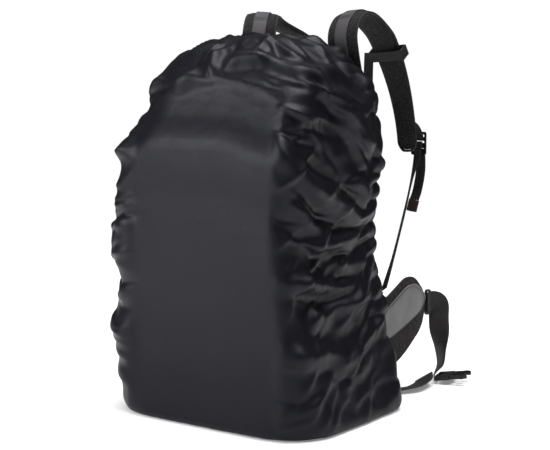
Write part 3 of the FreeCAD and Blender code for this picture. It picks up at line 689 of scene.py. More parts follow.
# The larger folds, each with its height, half width and the points it runs through, in mm.
COVER_FOLDS = (
    (15, 17, ((181, -170, 440), (187, -124, 405), (187, -60, 370), (188, 0, 348), (188, 60, 328))),
    (-10, 14, ((184, -150, 455), (187, -90, 418), (187, -30, 388), (187, 40, 362))),
    (12, 15, ((122, -161, 482), (154, -167, 461), (183, -166, 436))),
    (14, 16, ((165, -80, 568), (179, -36, 537), (185, 2, 508), (187, 36, 470), (186, 85, 425))),
    (-9, 12, ((172, -80, 540), (184, -40, 500), (187, 0, 455), (187, 40, 420))),
    (11, 13, ((176, -60, 520), (186, -26, 490), (187, 8, 452), (187, 64, 402))),
    (13, 17, ((135, -125, 574), (158, -77, 580), (159, -22, 580), (160, 40, 572))),
    (-8, 13, ((150, -120, 548), (168, -60, 552), (172, -10, 546))),
    (10, 13, ((25, -132, 590), (54, -121, 602), (83, -117, 606), (112, -106, 604))),
    (9, 11, ((12, -140, 572), (0, -120, 602), (-8, -100, 620))),
    (-8, 11, ((26, -136, 578), (18, -112, 608), (12, -90, 624))),
    (14, 17, ((178, -186, 254), (192, -125, 241), (193, -34, 227), (192, 68, 240))),
    (-10, 13, ((184, -178, 232), (194, -120, 214), (195, -40, 205))),
    (13, 15, ((198, -140, 168), (196, -108, 187), (195, -60, 197), (195, 4, 204), (194, 75, 212))),
    (12, 15, ((186, -184, 140), (199, -163, 134), (200, -113, 127), (200, -42, 126))),
    (12, 15, ((196, -150, 62), (199, -126, 76), (200, -70, 98), (200, -18, 119), (199, 40, 134))),
    (10, 14, ((198, -120, 40), (200, -60, 58), (199, 0, 84), (197, 60, 104))),
    (-9, 13, ((198, -130, 108), (200, -70, 82), (199, 0, 66))),
    (13, 15, ((189, -148, 313), (189, -92, 303), (189, -19, 307), (189, 50, 318))),
    (-12, 14, ((190, -120, 284), (190, -60, 282), (190, -10, 288))),
    (12, 14, ((190, -65, 275), (191, -6, 260), (191, 63, 262))),
    (11, 14, ((186, -167, 386), (187, -133, 343), (188, -63, 320))),
    (11, 13, ((187, -17, 422), (187, 23, 386), (187, 66, 356))),
    (9, 13, ((187, -146, 408), (187, -90, 396), (187, -31, 375))),
    (12, 17, ((-60, -160, 490), (-54, -148, 548), (-25, -128, 594))),
    (10, 17, ((-124, -187, 334), (-160, -150, 300), (-192, -90, 262))),
    (-9, 15, ((-130, -180, 380), (-165, -140, 345), (-186, -80, 320))),
    (10, 16, ((-140, -176, 210), (-175, -130, 180), (-194, -60, 150))),
    (9, 15, ((-120, -176, 440), (-150, -140, 410), (-182, -70, 392))),
    (9, 15, ((-150, -150, 120), (-185, -100, 90), (-194, -20, 70))),
    (10, 16, ((-100, -140, 560), (-130, -90, 560), (-145, 0, 556))),
    (12, 16, ((-194, 0, 420), (-190, 40, 380), (-188, 90, 350))),
    (12, 16, ((-194, -40, 240), (-196, 20, 222), (-194, 80, 226))),
)


def side_weight(point):
    """0 on the taut front, 1 on the loose sides, top and front left corner."""
    corner = point.x + min(point.y + 190 * MM, 0.1)
    behind = smooth_step(158 * MM, 190 * MM, corner) if point.x > 0 else 0
    if point.z > 0.5:
        behind = max(behind, smooth_step(-180 * MM, -150 * MM, point.y))
    beside = smooth_step(-104 * MM, -138 * MM, point.x)
    below = smooth_step(-172 * MM, -140 * MM, point.y)
    upper = smooth_step(535 * MM, 575 * MM, point.z)
    flat_top = smooth_step(440 * MM, 470 * MM, point.z) * smooth_step(-126 * MM, -140 * MM, point.y)
    loose = max(behind, beside, below)
    inside = smooth_step(168 * MM, 140 * MM, point.x) * smooth_step(-150 * MM, -110 * MM, point.x)
    return max(loose * (1 - flat_top * inside), upper)


def fold_height(point, folds):
    """How far the folds lift the cloth at a point, in metres."""
    total = 0.0
    for lift, half, stations in folds:
        nearest, along = 1.0, 0.0
        for number, (start, end) in enumerate(zip(stations, stations[1:])):
            run = end - start
            share = min(max((point - start).dot(run) / run.length_squared, 0.0), 1.0)
            gap = (point - start - run * share).length
            if gap < nearest:
                nearest, along = gap, (number + share) / (len(stations) - 1)
        if nearest < 3 * half:
            ends = smooth_step(0.0, 0.25, along) * smooth_step(1.0, 0.75, along)
            total += lift * (0.25 + 0.75 * ends) * math.exp(-(nearest / half) ** 2)
    return total


def smooth_core(points, faces):
    """The stuffing that the cloth lies on: hollow between its bulges on the sides."""
    core = new_piece("cover_core", points, faces, "cover_nylon", None)
    inwards = [vertex.normal.copy() for vertex in core.data.vertices]
    for vertex, normal in zip(core.data.vertices, inwards):
        lumps = noise.noise(vertex.co * 11.0 + Vector((3.1, 0, 0)))
        hollow = side_weight(vertex.co) * (3.0 + 6.0 * lumps)
        vertex.co -= normal * (4.5 + max(hollow, 0.0)) * MM
    core.modifiers.new("collision", "COLLISION")
    core.collision.thickness_outer = CLOTH_GAP
    core.collision.cloth_friction = 14
    return core


def hem_share(row, last):
    """0 forward of the gathers, 1 at the elastic."""
    return smooth_step(last - 2.2 * HEM_ROWS, last, row)


def start_shape(rows, tree, last):
    """Where the cloth starts: on the stuffing, with the first of its folds in it."""
    folds = [(lift * MM, half * MM, [mm(*place) for place in places])
             for lift, half, places in COVER_FOLDS]
    start = []
    for number, row in enumerate(rows):
        gathers = hem_share(number, last)
        for column, point in enumerate(row):
            normal = tree.find_nearest(point)[1]
            turn = 2 * math.pi * column / AROUND
            around = Vector((math.cos(turn), math.sin(turn), 0)) * 8.2
            pleat = noise.noise(around + Vector((0, 0, 2.4 * point.y / 0.1)))
            ripple = noise.noise(point * 15.0) + 0.4 * noise.noise(point * 38.0)
            lift = 1.5 + 2.5 * ripple + 11.0 * pleat * gathers
            offset = max(lift * MM + fold_height(point, folds), -1 * MM)
            start.append(point + normal * offset * side_weight(point))
    return start


def pin_and_grow(cloth, rows, last):
    """Holds the taut front and the elastic, and lets the loose sides grow into folds."""
    pin = cloth.vertex_groups.new(name="pin")
    grow = cloth.vertex_groups.new(name="grow")
    for index, point in enumerate(point for row in rows for point in row):
        row = index // AROUND
        held = 1.0 - max(smooth_step(FRONT_ROWS, FRONT_ROWS + 3, row + STILL_ROWS),
                         side_weight(point) * smooth_step(2, 6, row))
        if row == last or point.z < 3 * MM:
            held = 1.0
        pin.add([index], held, "REPLACE")
        loose = 0.2 * side_weight(point) + 0.8 * hem_share(row, last)
        grow.add([index], min(loose, 1.0), "REPLACE")


def settle(cloth):
    """Runs the cloth simulation; returns the points where it comes to rest."""
    scene = bpy.context.scene
    modifier = cloth.modifiers.new("cloth", "CLOTH")
    settings = modifier.settings
    for key, value in COATED_CLOTH.items():
        setattr(settings, key, value)
    settings.vertex_group_mass = "pin"
    settings.vertex_group_shrink = "grow"
    modifier.collision_settings.distance_min = CLOTH_GAP
    modifier.collision_settings.use_self_collision = False
    settings.effector_weights.gravity = 0.4
    modifier.point_cache.frame_end = CLOTH_FRAMES
    for number in range(1, CLOTH_FRAMES + 1):
        scene.frame_set(number)
    graph = bpy.context.evaluated_depsgraph_get()
    moved = [vertex.co.copy() for vertex in cloth.evaluated_get(graph).data.vertices]
    scene.frame_set(1)
    return moved


def drape_cover():
    """Simulates the loose cover over the stuffed shape; returns its rows of points."""
    points, faces = form_mesh()
    tree = BVHTree.FromPolygons(points, faces)
    every_row = cover_rows(tree)
    rows = every_row[STILL_ROWS:]
    last = len(rows) - 1
    start = start_shape(rows, tree, last)
    cloth = new_piece("cover_cloth", start, grid_faces(len(rows), AROUND), "cover_nylon", None)
    pin_and_grow(cloth, rows, last)
    core = smooth_core(points, faces)
    moved = settle(cloth)
    for helper in (cloth, core):
        bpy.data.objects.remove(helper)
    for point in moved:
        point.z = max(point.z, FLOOR_GAP)
    draped = [moved[row * AROUND:(row + 1) * AROUND] for row in range(len(rows))]
    return every_row[:STILL_ROWS] + draped


def ease(low, high, values):
    """smooth_step for an array."""
    share = np.clip((values - low) / (high - low), 0.0, 1.0)
    return share * share * (3 - 2 * share)


def fold_relief(points, lift, half, stations):
    """Height of one hanging fold at each point: steep below its ridge, gentle above it."""
    nearest = np.full(len(points), 9.0)
    along = np.zeros(len(points))
    above = np.zeros(len(points))
    for number, (start, end) in enumerate(zip(stations, stations[1:])):
        run = end - start
        share = np.clip((points - start) @ run / (run @ run), 0.0, 1.0)
        away = points - start - share[:, None] * run
        gap = np.linalg.norm(away, axis=1)
        above = np.where(gap < nearest, away[:, -1] / np.maximum(gap, 1e-6), above)
        along = np.where(gap < nearest, (number + share) / (len(stations) - 1), along)
        nearest = np.minimum(nearest, gap)
    tip = 2.0 * MM
    reach = half * (1.15 + 0.6 * np.clip(above * 1.5, -1.0, 1.0))
    ridge = np.exp(-(np.sqrt(nearest ** 2 + tip ** 2) - tip) / reach)
    return lift * ridge * ease(0.0, 0.3, along) * ease(1.0, 0.6, along)


def side_creases(chance):
    """Small pinched folds for both sides: sign of the side, lift, half width and stations."""
    for number in range(130):
        sign = 1 if number % 5 < 3 else -1
        height = chance.uniform(20, 600)
        place = Vector((chance.uniform(-175, 90), height))
        if height < 250:
            slope = chance.gauss(32, 14)
        elif height < 430:
            slope = chance.choice((-1, 1)) * chance.gauss(26, 12)
        else:
            slope = chance.gauss(-34, 16)
        length = chance.uniform(80, 210)
        run = Vector((math.cos(math.radians(slope)), math.sin(math.radians(slope)))) * length
        bow = Vector((-run.y, run.x)) * chance.uniform(-0.16, 0.16)
        stations = [np.array(spot) * MM
                    for spot in (place - run / 2, place + bow, place + run / 2)]
        lift = chance.choice((1, 1, -0.8)) * chance.uniform(2.4, 6.0) * MM
        lift *= 0.75 + 0.25 * smooth_step(120, 300, height)
        yield sign, lift, chance.uniform(4.0, 8.0) * MM, stations


def corner_creases(chance):
    """Folds that wrap the loose front left corner: lift, half width and stations."""
    for step in range(16):
        height = 50 + 32 * step + chance.uniform(-9, 9)
        rise = chance.choice((-1, 1)) * chance.uniform(12, 40)
        places = ((-116, -191, 0.0), (-158, -176, 0.4), (-190, -140, 0.8), (-203, -90, 1.0))
        stations = [np.array((x, y, height + rise * share)) * MM for x, y, share in places]
        lift = chance.choice((1, 1, -0.7)) * chance.uniform(7.0, 12.5) * MM
        yield lift, chance.uniform(11.0, 17.0) * MM, stations


def top_creases(chance):
    """Small pinched folds that run over the dome, seen from above."""
    for _ in range(46):
        heading = chance.uniform(0, 2 * math.pi)
        start = Vector((math.cos(heading) * 150 + 5, math.sin(heading) * 120 - 15))
        end = start * chance.uniform(0.2, 0.7) + Vector((chance.gauss(0, 24), chance.gauss(0, 20)))
        middle = (start + end) / 2 + Vector((chance.gauss(0, 9), chance.gauss(0, 9)))
        stations = [np.array(spot) * MM for spot in (start, middle, end)]
        lift = chance.choice((1, 1, -0.8)) * chance.uniform(3.0, 6.5) * MM
        yield lift, chance.uniform(4.5, 8.5) * MM, stations


def crumple(points, turns):
    """How far creases and the elastic's gathers lift the cloth at each point, in metres."""
    warp = np.array([noise.noise_vector(Vector(point) * 13.0) for point in points]) * 9 * MM
    places = points + warp
    relief = np.zeros(len(points))
    for lift, half, stations in COVER_FOLDS:
        line = [np.array(spot) * MM for spot in stations]
        relief += fold_relief(places, 0.75 * lift * MM, 0.6 * half * MM, line)
    chance = random.Random(11)
    beside = ease(90 * MM, 150 * MM, np.abs(points[:, 0]))
    for sign, lift, half, stations in side_creases(chance):
        facing = beside * (points[:, 0] * sign > 0)
        relief += fold_relief(places[:, 1:], lift, half, stations) * facing
    for lift, half, stations in corner_creases(chance):
        relief += fold_relief(places, lift, half, stations)
    above = ease(545 * MM, 590 * MM, points[:, 2])
    for lift, half, stations in top_creases(chance):
        relief += fold_relief(places[:, :2], lift, half, stations) * above
    sway = np.array([noise.noise(Vector((turn.x * 3.0, turn.y * 3.0, 0.5))) for turn in turns])
    angle = np.array([math.atan2(turn.y, turn.x) for turn in turns]) + 0.22 * sway
    gathers = np.abs(np.sin(angle * GATHERS / 2)) ** 0.7 - 0.6
    relief += 7.5 * MM * gathers * ease(10 * MM, 112 * MM, points[:, 1]) * (0.8 + 0.5 * sway)
    return relief


def cover_piece(name, whole, low, high, normals, node):
    """One sewn part of the cover, as a closed skin: the faces between two of its rows."""
    mesh = whole.data
    row_of = np.empty(len(mesh.vertices))
    mesh.attributes["row"].data.foreach_get("value", row_of)
    chosen = [polygon for polygon in mesh.polygons
              if low < row_of[list(polygon.vertices)].mean() <= high]
    keep = sorted({i for polygon in chosen for i in polygon.vertices})
    order = {old: new for new, old in enumerate(keep)}
    outer = [[order[i] for i in polygon.vertices] for polygon in chosen]
    count = len(keep)
    verts = [mesh.vertices[i].co.copy() for i in keep]
    verts += [mesh.vertices[i].co - normals[i] * COVER_SKIN for i in keep]
    faces = outer + [[i + count for i in reversed(face)] for face in outer]
    edges = {}
    for face in outer:
        for start, end in zip(face, face[1:] + face[:1]):
            edges[(start, end)] = (end, start) not in edges
            if not edges[(start, end)]:
                del edges[(start, end)], edges[(end, start)]
    faces += [(start, start + count, end + count, end) for start, end in edges]
    piece = new_piece(name, verts, faces, "cover_nylon", "rain_cover")
    shading = [normals[i] for i in keep]
    piece.data.normals_split_custom_set_from_vertices(shading + [-n for n in shading])
    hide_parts(node)
    return piece


def fine_cover(rows):
    """The drape as one mesh of twice its detail, with each point's row and turn noted."""
    whole = new_piece("cover_whole", [p for row in rows for p in row],
                      grid_faces(len(rows), AROUND), "cover_nylon", None)
    turn_outwards(whole.data)
    mesh = whole.data
    row_of = mesh.attributes.new("row", "FLOAT", "POINT")
    turn_of = mesh.attributes.new("turn", "FLOAT_VECTOR", "POINT")
    for index in range(len(mesh.vertices)):
        turn = 2 * math.pi * (index % AROUND) / AROUND
        row_of.data[index].value = index // AROUND
        turn_of.data[index].vector = (math.cos(turn), math.sin(turn), 0)
    work = bmesh.new()
    work.from_mesh(mesh)
    bmesh.ops.remove_doubles(work, verts=work.verts, dist=0.1 * MM)
    work.to_mesh(mesh)
    work.free()
    add_modifier(whole, "SUBSURF", levels=1)
    apply_modifiers(whole)
    return whole


def finish_cover(rows):
    """Adds the small creases to the drape and cuts it into its three pieces."""
    whole = fine_cover(rows)
    mesh = whole.data
    points = np.array([vertex.co for vertex in mesh.vertices])
    normals = np.array([vertex.normal for vertex in mesh.vertices])
    loose = np.array([side_weight(vertex.co) for vertex in mesh.vertices])
    turns = [item.vector.copy() for item in mesh.attributes["turn"].data]
    row_values = np.empty(len(mesh.vertices))
    mesh.attributes["row"].data.foreach_get("value", row_values)
    free = ease(4 * MM, 22 * MM, points[:, 2]) * ease(len(rows) - 1, len(rows) - 5, row_values)
    moved = points + normals * (crumple(points, turns) * loose * free)[:, None]
    moved[:, 2] = np.maximum(moved[:, 2], FLOOR_GAP)
    mesh.vertices.foreach_set("co", moved.ravel())
    mesh.update()
    shading = [vertex.normal.copy() for vertex in mesh.vertices]
    ends = (0, FRONT_ROWS, FRONT_ROWS + GUSSET_ROWS, len(rows))
    names = (("cover_front", "cover_front_panel"), ("cover_sides", "cover_gusset"),
             ("cover_turned_hem", "cover_hem"))
    pieces = [cover_piece(name, whole, low, high, shading, node)
              for (name, node), low, high in zip(names, ends, ends[1:])]
    bpy.data.objects.remove(whole)
    return pieces


# ---------------------------------------------------------------- bands and ribbons
def spline(points, steps):
    """Catmull-Rom points through a list of vectors."""
    result = []
    for number in range(len(points) - 1):
        before = points[max(number - 1, 0)]
        start, end = points[number], points[number + 1]
        after = points[min(number + 2, len(points) - 1)]
        for step in range(steps):
            t = step / steps
            result.append(0.5 * (2 * start + (end - before) * t
                                 + (2 * before - 5 * start + 4 * end - after) * t * t
                                 + (3 * start - before - 3 * end + after) * t ** 3))
    result.append(points[-1].copy())
    return result


def sweep(name, frames, section, slot, body):
    """A closed band: frames are (point, side, face) and section(share) gives its ring."""
    verts = []
    count = 0
    for number, (point, side, face) in enumerate(frames):
        ring = section(number / (len(frames) - 1))
        count = len(ring)
        verts += [point + side * across + face * out for across, out in ring]
    faces = grid_faces(len(frames), count) + end_caps(len(verts), count)
    piece = new_piece(name, verts, faces, slot, body)
    turn_outwards(piece.data)
    return piece


def flat_ring(half_wide, half_thick, bulge=0.0, count=7):
    """A flat band's section with rounded edges; bulge crowns its faces."""
    ring = []
    for face in (1, -1):
        for step in range(count):
            share = (step / (count - 1) * 2 - 1) * face
            ring.append((share * (half_wide - half_thick * 0.6),
                         face * (half_thick + bulge * (1 - share * share))))
        ring += [(half_wide * face, half_thick * 0.5 * up) for up in (face, -face)]
    return ring


def ribbon_frames(stations, steps=8):
    """Frames along a smooth strap through (point, direction of its width) stations."""
    points = spline([Vector(place) * MM for place, _ in stations], steps)
    widths = spline([Vector(across).normalized() for _, across in stations], steps)
    frames = []
    for number, point in enumerate(points):
        run = (points[min(number + 1, len(points) - 1)] - points[max(number - 1, 0)]).normalized()
        side = widths[number] - run * widths[number].dot(run)
        side.normalize()
        frames.append((point, side, run.cross(side)))
    return frames


def mirrored(frames):
    """The same frames on the left side."""
    flip = Matrix.Diagonal((-1, 1, 1))
    return [(flip @ point, flip @ side, flip @ face) for point, side, face in frames]


def stand_for(piece, *nodes):
    """The piece rides where the first of these CAD nodes does, and stands for them all."""
    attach(piece, body_of(frame["nodes"][nodes[0]])[0])
    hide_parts(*nodes)
    return piece


def strap_pair(node, stations, width, thick, slot, end_width=None, tacked=(2, -3), bend=None):
    """A woven strap on both sides, through the same stations as its CAD node.

    bend is (body, start, end) where the strap bends from the pack to a body that moves.
    """
    right = ribbon_frames(stations)
    end_width = end_width or width

    def section(share):
        half = (width + (end_width - width) * share) * MM / 2
        return flat_ring(half, thick * MM / 2, 0.15 * MM)
    for side, sign in SIDES:
        frames = right if sign > 0 else mirrored(right)
        piece = sweep(f"{node}_{side}_woven", frames, section, slot, None)
        if bend:
            start, end = mirror_points(bend[1:], sign)
            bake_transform(piece, "pack", f"{bend[0]}_{side}", start, end)
            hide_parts(f"{node}_{side}")
        else:
            stand_for(piece, f"{node}_{side}")
        for index in tacked:
            bar_tack(piece.name, frames, index % len(frames), width, thick, slot)


def bar_tack(name, frames, index, width, thick, slot):
    """A bar tack across a strap at one of its frames, on both of its faces."""
    point, side, face = frames[index]
    along = (frames[index + 1][0] - frames[index - 1][0]).normalized()
    body = body_of(bpy.data.objects[name])[0]
    for turn, which in ((1, "outer"), (-1, "inner")):
        stitch_box(f"{name}_tack_{index}_{which}", point + face * (turn * thick * MM / 2), along,
                   side, face * turn, 5 * MM, width * 0.82 * MM, slot, body)


def stitch_box(name, centre, along, across, face, length, width, slot, body):
    """A bar tack: rows of raised thread across a strap."""
    verts, faces = [], []
    rows = max(int(length / (1.3 * MM)), 3)
    for row in range(rows):
        middle = centre + along * (length * (row / (rows - 1) - 0.5))
        lean = 0.35 * MM * (1 if row % 2 else -1)
        base = len(verts)
        for end in (-1, 1):
            for up, shift in ((0.0, -0.45), (0.45, 0.0), (0.0, 0.45)):
                verts.append(middle + across * (end * width / 2) + along * (shift * MM + lean * end)
                             + face * (up * MM))
        faces += [(base, base + 1, base + 4, base + 3), (base + 1, base + 2, base + 5, base + 4)]
    return new_piece(name, verts, faces, slot, body, MATERIALS["thread"])


# ---------------------------------------------------------------- shoulder straps
STRAP_SPREAD, STRAP_RISE, STRAP_ROOT, STRAP_CROWN = 92, 139, 478, 631
CROWN_RADIUS, CROWN_SWEEP, FALL_RADIUS, FALL_SWEEP = 52, 135, 330, 45
STRAP_SPLAY = math.radians(3.8)
STRAP_LEAN = {"right": Vector((-8, -9, 1)), "left": Vector((-25, -25, 1))}
STRAP_TURN = {"right": 0.0, "left": math.radians(28)}


def crown_share(y, z):
    """0 where a strap hangs straight, 1 at its crown, where it leans and turns."""
    rising = smooth_step(510, 655, z)
    falling = smooth_step(642, 686, z)
    return rising + (falling - rising) * smooth_step(STRAP_RISE + 20, STRAP_RISE + 80, y)


def hang_point(y, z, side_name):
    """Where a point of the straps' common side view, in millimetres, hangs on one side."""
    sign = 1 if side_name == "right" else -1
    rise = z - STRAP_CROWN
    share = crown_share(y, z)
    x = STRAP_SPREAD - rise * math.sin(STRAP_SPLAY)
    turn = STRAP_TURN[side_name] * share
    behind = y - STRAP_RISE - CROWN_RADIUS
    return (Vector((x * sign - behind * math.sin(turn),
                    STRAP_RISE + CROWN_RADIUS + behind * math.cos(turn),
                    STRAP_CROWN + rise * math.cos(STRAP_SPLAY)))
            + STRAP_LEAN[side_name] * share) * MM


def strap_frames(side_name, offset=0.0, start=STRAP_ROOT, fall=FALL_SWEEP, step=5.0):
    """Frames along a shoulder strap: up from its root, over the crown and down behind."""
    side_views = []
    travel = start
    while travel < STRAP_CROWN:
        side_views.append((STRAP_RISE - offset, travel, math.pi))
        travel += step

    def add_arc(middle, radius, first, sweep_degrees, closing):
        turns = int(math.radians(sweep_degrees) * radius / step)
        for number in range(turns + closing):
            angle = first - math.radians(sweep_degrees) * number / turns
            side_views.append((middle[0] + math.cos(angle) * (radius + offset),
                               middle[1] + math.sin(angle) * (radius + offset), angle))
    centre = (STRAP_RISE + CROWN_RADIUS, STRAP_CROWN)
    add_arc(centre, CROWN_RADIUS, math.pi, CROWN_SWEEP, 0)
    turned = math.pi - math.radians(CROWN_SWEEP)
    middle = (centre[0] + math.cos(turned) * (CROWN_RADIUS - FALL_RADIUS),
              centre[1] + math.sin(turned) * (CROWN_RADIUS - FALL_RADIUS))
    add_arc(middle, FALL_RADIUS, turned, fall, 1)
    sign = 1 if side_name == "right" else -1
    frames = []
    for y, z, angle in side_views:
        point = hang_point(y, z, side_name)
        turn = STRAP_TURN[side_name] * crown_share(y, z)
        face = Vector((-math.cos(angle) * math.sin(turn), math.cos(angle) * math.cos(turn),
                       math.sin(angle)))
        across = Vector((math.cos(STRAP_SPLAY) * math.cos(turn) * sign,
                         math.cos(STRAP_SPLAY) * math.sin(turn) * sign, math.sin(STRAP_SPLAY)))
        face = (face - across * face.dot(across)).normalized()
        frames.append((point, across, face))
    return frames


def strap_half_width(share):
    """The padding's half width in metres: full over the shoulder, tapered to its tip."""
    if share > 0.97:
        return (18.7 - 8 * ((share - 0.97) / 0.03) ** 2) * MM
    return (28.7 - 10 * smooth_step(0.45, 0.97, share) - 1.5 * smooth_step(0.2, 0.0, share)) * MM


def padding_ring(share):
    """Section of the foam: crowned faces with a pinched, bound edge."""
    half = strap_half_width(share)
    ring = []
    count = 11
    body = 5.6 * MM * (1 - 0.55 * smooth_step(0.94, 1.0, share))
    for face in (1, -1):
        for step in range(count):
            across = (step / (count - 1) * 2 - 1) * face
            pinch = 1 - abs(across) ** 5 * 0.62
            channel = 1 - 0.12 * math.exp(-((abs(across) - 0.62) / 0.06) ** 2)
            ring.append((across * half, face * body * pinch * channel))
    return ring


def tube_along(name, points, radius, slot, body, sides=8, material=None, closed=False):
    """A round piping that follows a list of points."""
    frames = []
    count = len(points)
    up = Vector((0.13, 0.21, 0.97)).normalized()
    for number, point in enumerate(points):
        if closed:
            run = points[(number + 1) % count] - points[number - 1]
        else:
            run = points[min(number + 1, count - 1)] - points[max(number - 1, 0)]
        run = run.normalized()
        side = run.cross(up)
        if side.length < 0.1:
            side = run.cross(Vector((1, 0, 0)))
        side.normalize()
        frames.append((point, side, run.cross(side)))
    verts = []
    for point, side, face in frames:
        for step in range(sides):
            angle = 2 * math.pi * step / sides
            verts.append(point + side * math.cos(angle) * radius + face * math.sin(angle) * radius)
    faces = grid_faces(count, sides)
    if closed:
        faces += [((count - 1) * sides + i, (count - 1) * sides + (i + 1) % sides,
                   (i + 1) % sides, i) for i in range(sides)]
    else:
        faces += end_caps(len(verts), sides)
    piece = new_piece(name, verts, faces, slot, body, material)
    turn_outwards(piece.data)
    return piece


def make_shoulder_straps():
    """Padded straps with a bound edge and a grey webbing sewn along their middle."""
    for side, _ in SIDES:
        frames = strap_frames(side)
        pad = sweep(f"strap_padding_{side}", frames, padding_ring, "back_mesh", "pack")
        for vertex in pad.data.vertices:
            vertex.co += vertex.normal * noise.noise(vertex.co * 34.0) * 0.9 * MM
        add_modifier(pad, "SUBSURF", levels=1, render_levels=1)
        apply_modifiers(pad)
        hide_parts(f"shoulder_strap_{side}")
        last = len(frames) - 1
        left_edge, right_edge = [], []
        for number, (point, across, _) in enumerate(frames):
            half = strap_half_width(number / last)
            left_edge.append(point - across * half)
            right_edge.append(point + across * half)
        tip = []
        point, across, face = frames[-1]
        down = (point - frames[-2][0]).normalized()
        for step in range(1, 8):
            angle = math.pi * step / 8
            tip.append(point - across * math.cos(angle) * strap_half_width(1.0)
                       + down * math.sin(angle) * 2 * MM)
        route = left_edge + tip + list(reversed(right_edge))
        tube_along(f"strap_binding_{side}", route, 2.3 * MM, "black_webbing", "pack")
        web = sweep(f"strap_stripe_{side}",
                    strap_frames(side, 6.6, 500, 35),
                    lambda share: flat_ring(12.5 * MM, 0.9 * MM, 0.1 * MM),
                    "grey_webbing", "pack")
        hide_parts(f"strap_webbing_{side}")
        stripe = strap_frames(side, 7.6, 500, 35)
        for number, index in enumerate((18, 36, 54, 72)):
            point, across, face = stripe[min(index, len(stripe) - 2)]
            along = (stripe[index + 1][0] - stripe[index - 1][0]).normalized()
            stitch_box(f"strap_tack_{side}_{number}", point, along, across, face, 8 * MM,
                       23 * MM, "grey_webbing", "pack")


# ---------------------------------------------------------------- webbing and buckles
STRAP_END = Vector((101.2, 326.5, 493.3))
LOCK = Vector((113, 352, 446))
HOOK = Vector((56.6, 271.2, 611.8))
ANCHOR_TIP = Vector((157, 154, 192))
WING_ROOT = Vector((120, 146, 0))
WING_TURN = math.radians(10.9)
SQUARE = (1, 0, 0)


def wing_point(out, along, up):
    """A point of the right hip wing: out from its middle plane, along it and up."""
    run = Vector((math.sin(WING_TURN), math.cos(WING_TURN), 0))
    face = Vector((math.cos(WING_TURN), -math.sin(WING_TURN), 0))
    return (WING_ROOT + run * along + face * out + Vector((0, 0, up))) * MM


def beside(fitting, *offsets):
    """Stations at these offsets from a fitting, with the strap's width across the pack."""
    return tuple((fitting + Vector(offset), SQUARE) for offset in offsets)


def make_webbing():
    """The harness's loose and sewn webbing, from the shoulder straps down to the buckles."""
    strap_pair("strap_link", beside(STRAP_END, (0, 3.4, -4))
               + beside(LOCK, (-6, -11, 33), (-1, -4.6, 18), (0, -3.4, 9)),
               24, 1.6, "black_webbing")
    strap_pair("lower_webbing", (
        (LOCK + Vector((0, -3.4, 4)), SQUARE), (LOCK + Vector((1, -8, -24)), (0.9, -0.42, 0)),
        (LOCK + Vector((3, -32, -72)), (0.6, -0.8, 0)), ((131, 266, 312), (0.6, -0.8, 0)),
        ((143, 212, 246), (0.65, -0.75, 0.1)),
        (ANCHOR_TIP + Vector((0.2, 3.4, 4.4)), (0.8, -0.3, 0.5))), 20, 1.6, "black_webbing",
        tacked=(-3,), bend=("strap_lock", mm(116, 320, 374), mm(113.5, 346, 434)))
    strap_pair("strap_anchor", (
        ((123.5, 122, 128), (0, 0, 1)), ((140, 138, 158), (0.3, -0.15, 0.9)),
        (ANCHOR_TIP, (0.6, -0.3, 0.7))), 72, 3, "pack_nylon", 24)
    strap_pair("strap_tail",
               beside(LOCK, (2, 3.2, -10), (2, 5, -50), (0, -2, -86), (-3, -9, -106)),
               20, 1.6, "black_webbing")
    strap_pair("tail_tab", beside(LOCK, (-3, -9.2, -106.6), (-4.6, -11.6, -117), (-6, -14, -128)),
               22, 3.4, "tab_binding")
    strap_pair("sternum_webbing",
               beside(HOOK, (-3, -4, 4), (-3, -6, -50), (-1, -6, -120), (0, -6, -172)),
               20, 1.6, "black_webbing", tacked=(-3,))
    wing_end = wing_point(0, 196, 150) / MM
    strap_pair("hip_webbing", (
        (wing_point(3.6, 174, 150) / MM, (0, 0, 1)), (wing_end, (0.05, 0.03, 1)),
        (wing_end + Vector((5, 11, -8)), (0.5, 0.36, 0.8)),
        ((165, 346, 112), (0.81, 0.59, 0.15)), ((169, 346, 62), (0.91, -0.41, 0)),
        ((173, 340, 30), (0.7, -0.72, 0)), ((168.4, 325.6, 12), (0.24, -0.97, 0))),
        38, 1.8, "black_webbing")
    strap_pair("hip_tail", (
        ((161, 298, 12), (0.9, -0.2, 0.35)), ((172, 276, 9), (0.95, 0, 0.3)),
        ((176, 234, 7.4), (0.97, -0.1, 0.22)), ((160, 206, 5.4), (0.8, -0.5, 0.12))),
        38, 1.8, "black_webbing")


# ---------------------------------------------------------------- hip wings
WING_OUTLINE = ((4, 60), (4, 150), (58, 166), (116, 203), (140, 200), (170, 166), (162, 108),
                (112, 62), (70, 38), (40, 42))
OVERLAY_OUTLINE = ((34, 104), (46, 146), (112, 190), (138, 192), (168, 164), (152, 136),
                   (104, 112), (60, 92))


def closed_curve(corners, steps, rounding):
    """Points round an outline whose corners are rounded by a radius in millimetres."""
    points = []
    count = len(corners)
    for number in range(count):
        before, corner, after = (Vector(corners[(number + turn) % count]) for turn in (-1, 0, 1))
        reach = min(rounding, (corner - before).length * 0.45, (after - corner).length * 0.45)
        start = corner + (before - corner).normalized() * reach
        end = corner + (after - corner).normalized() * reach
        for step in range(steps):
            t = step / (steps - 1)
            points.append(start * (1 - t) ** 2 + corner * 2 * t * (1 - t) + end * t * t)
    return points


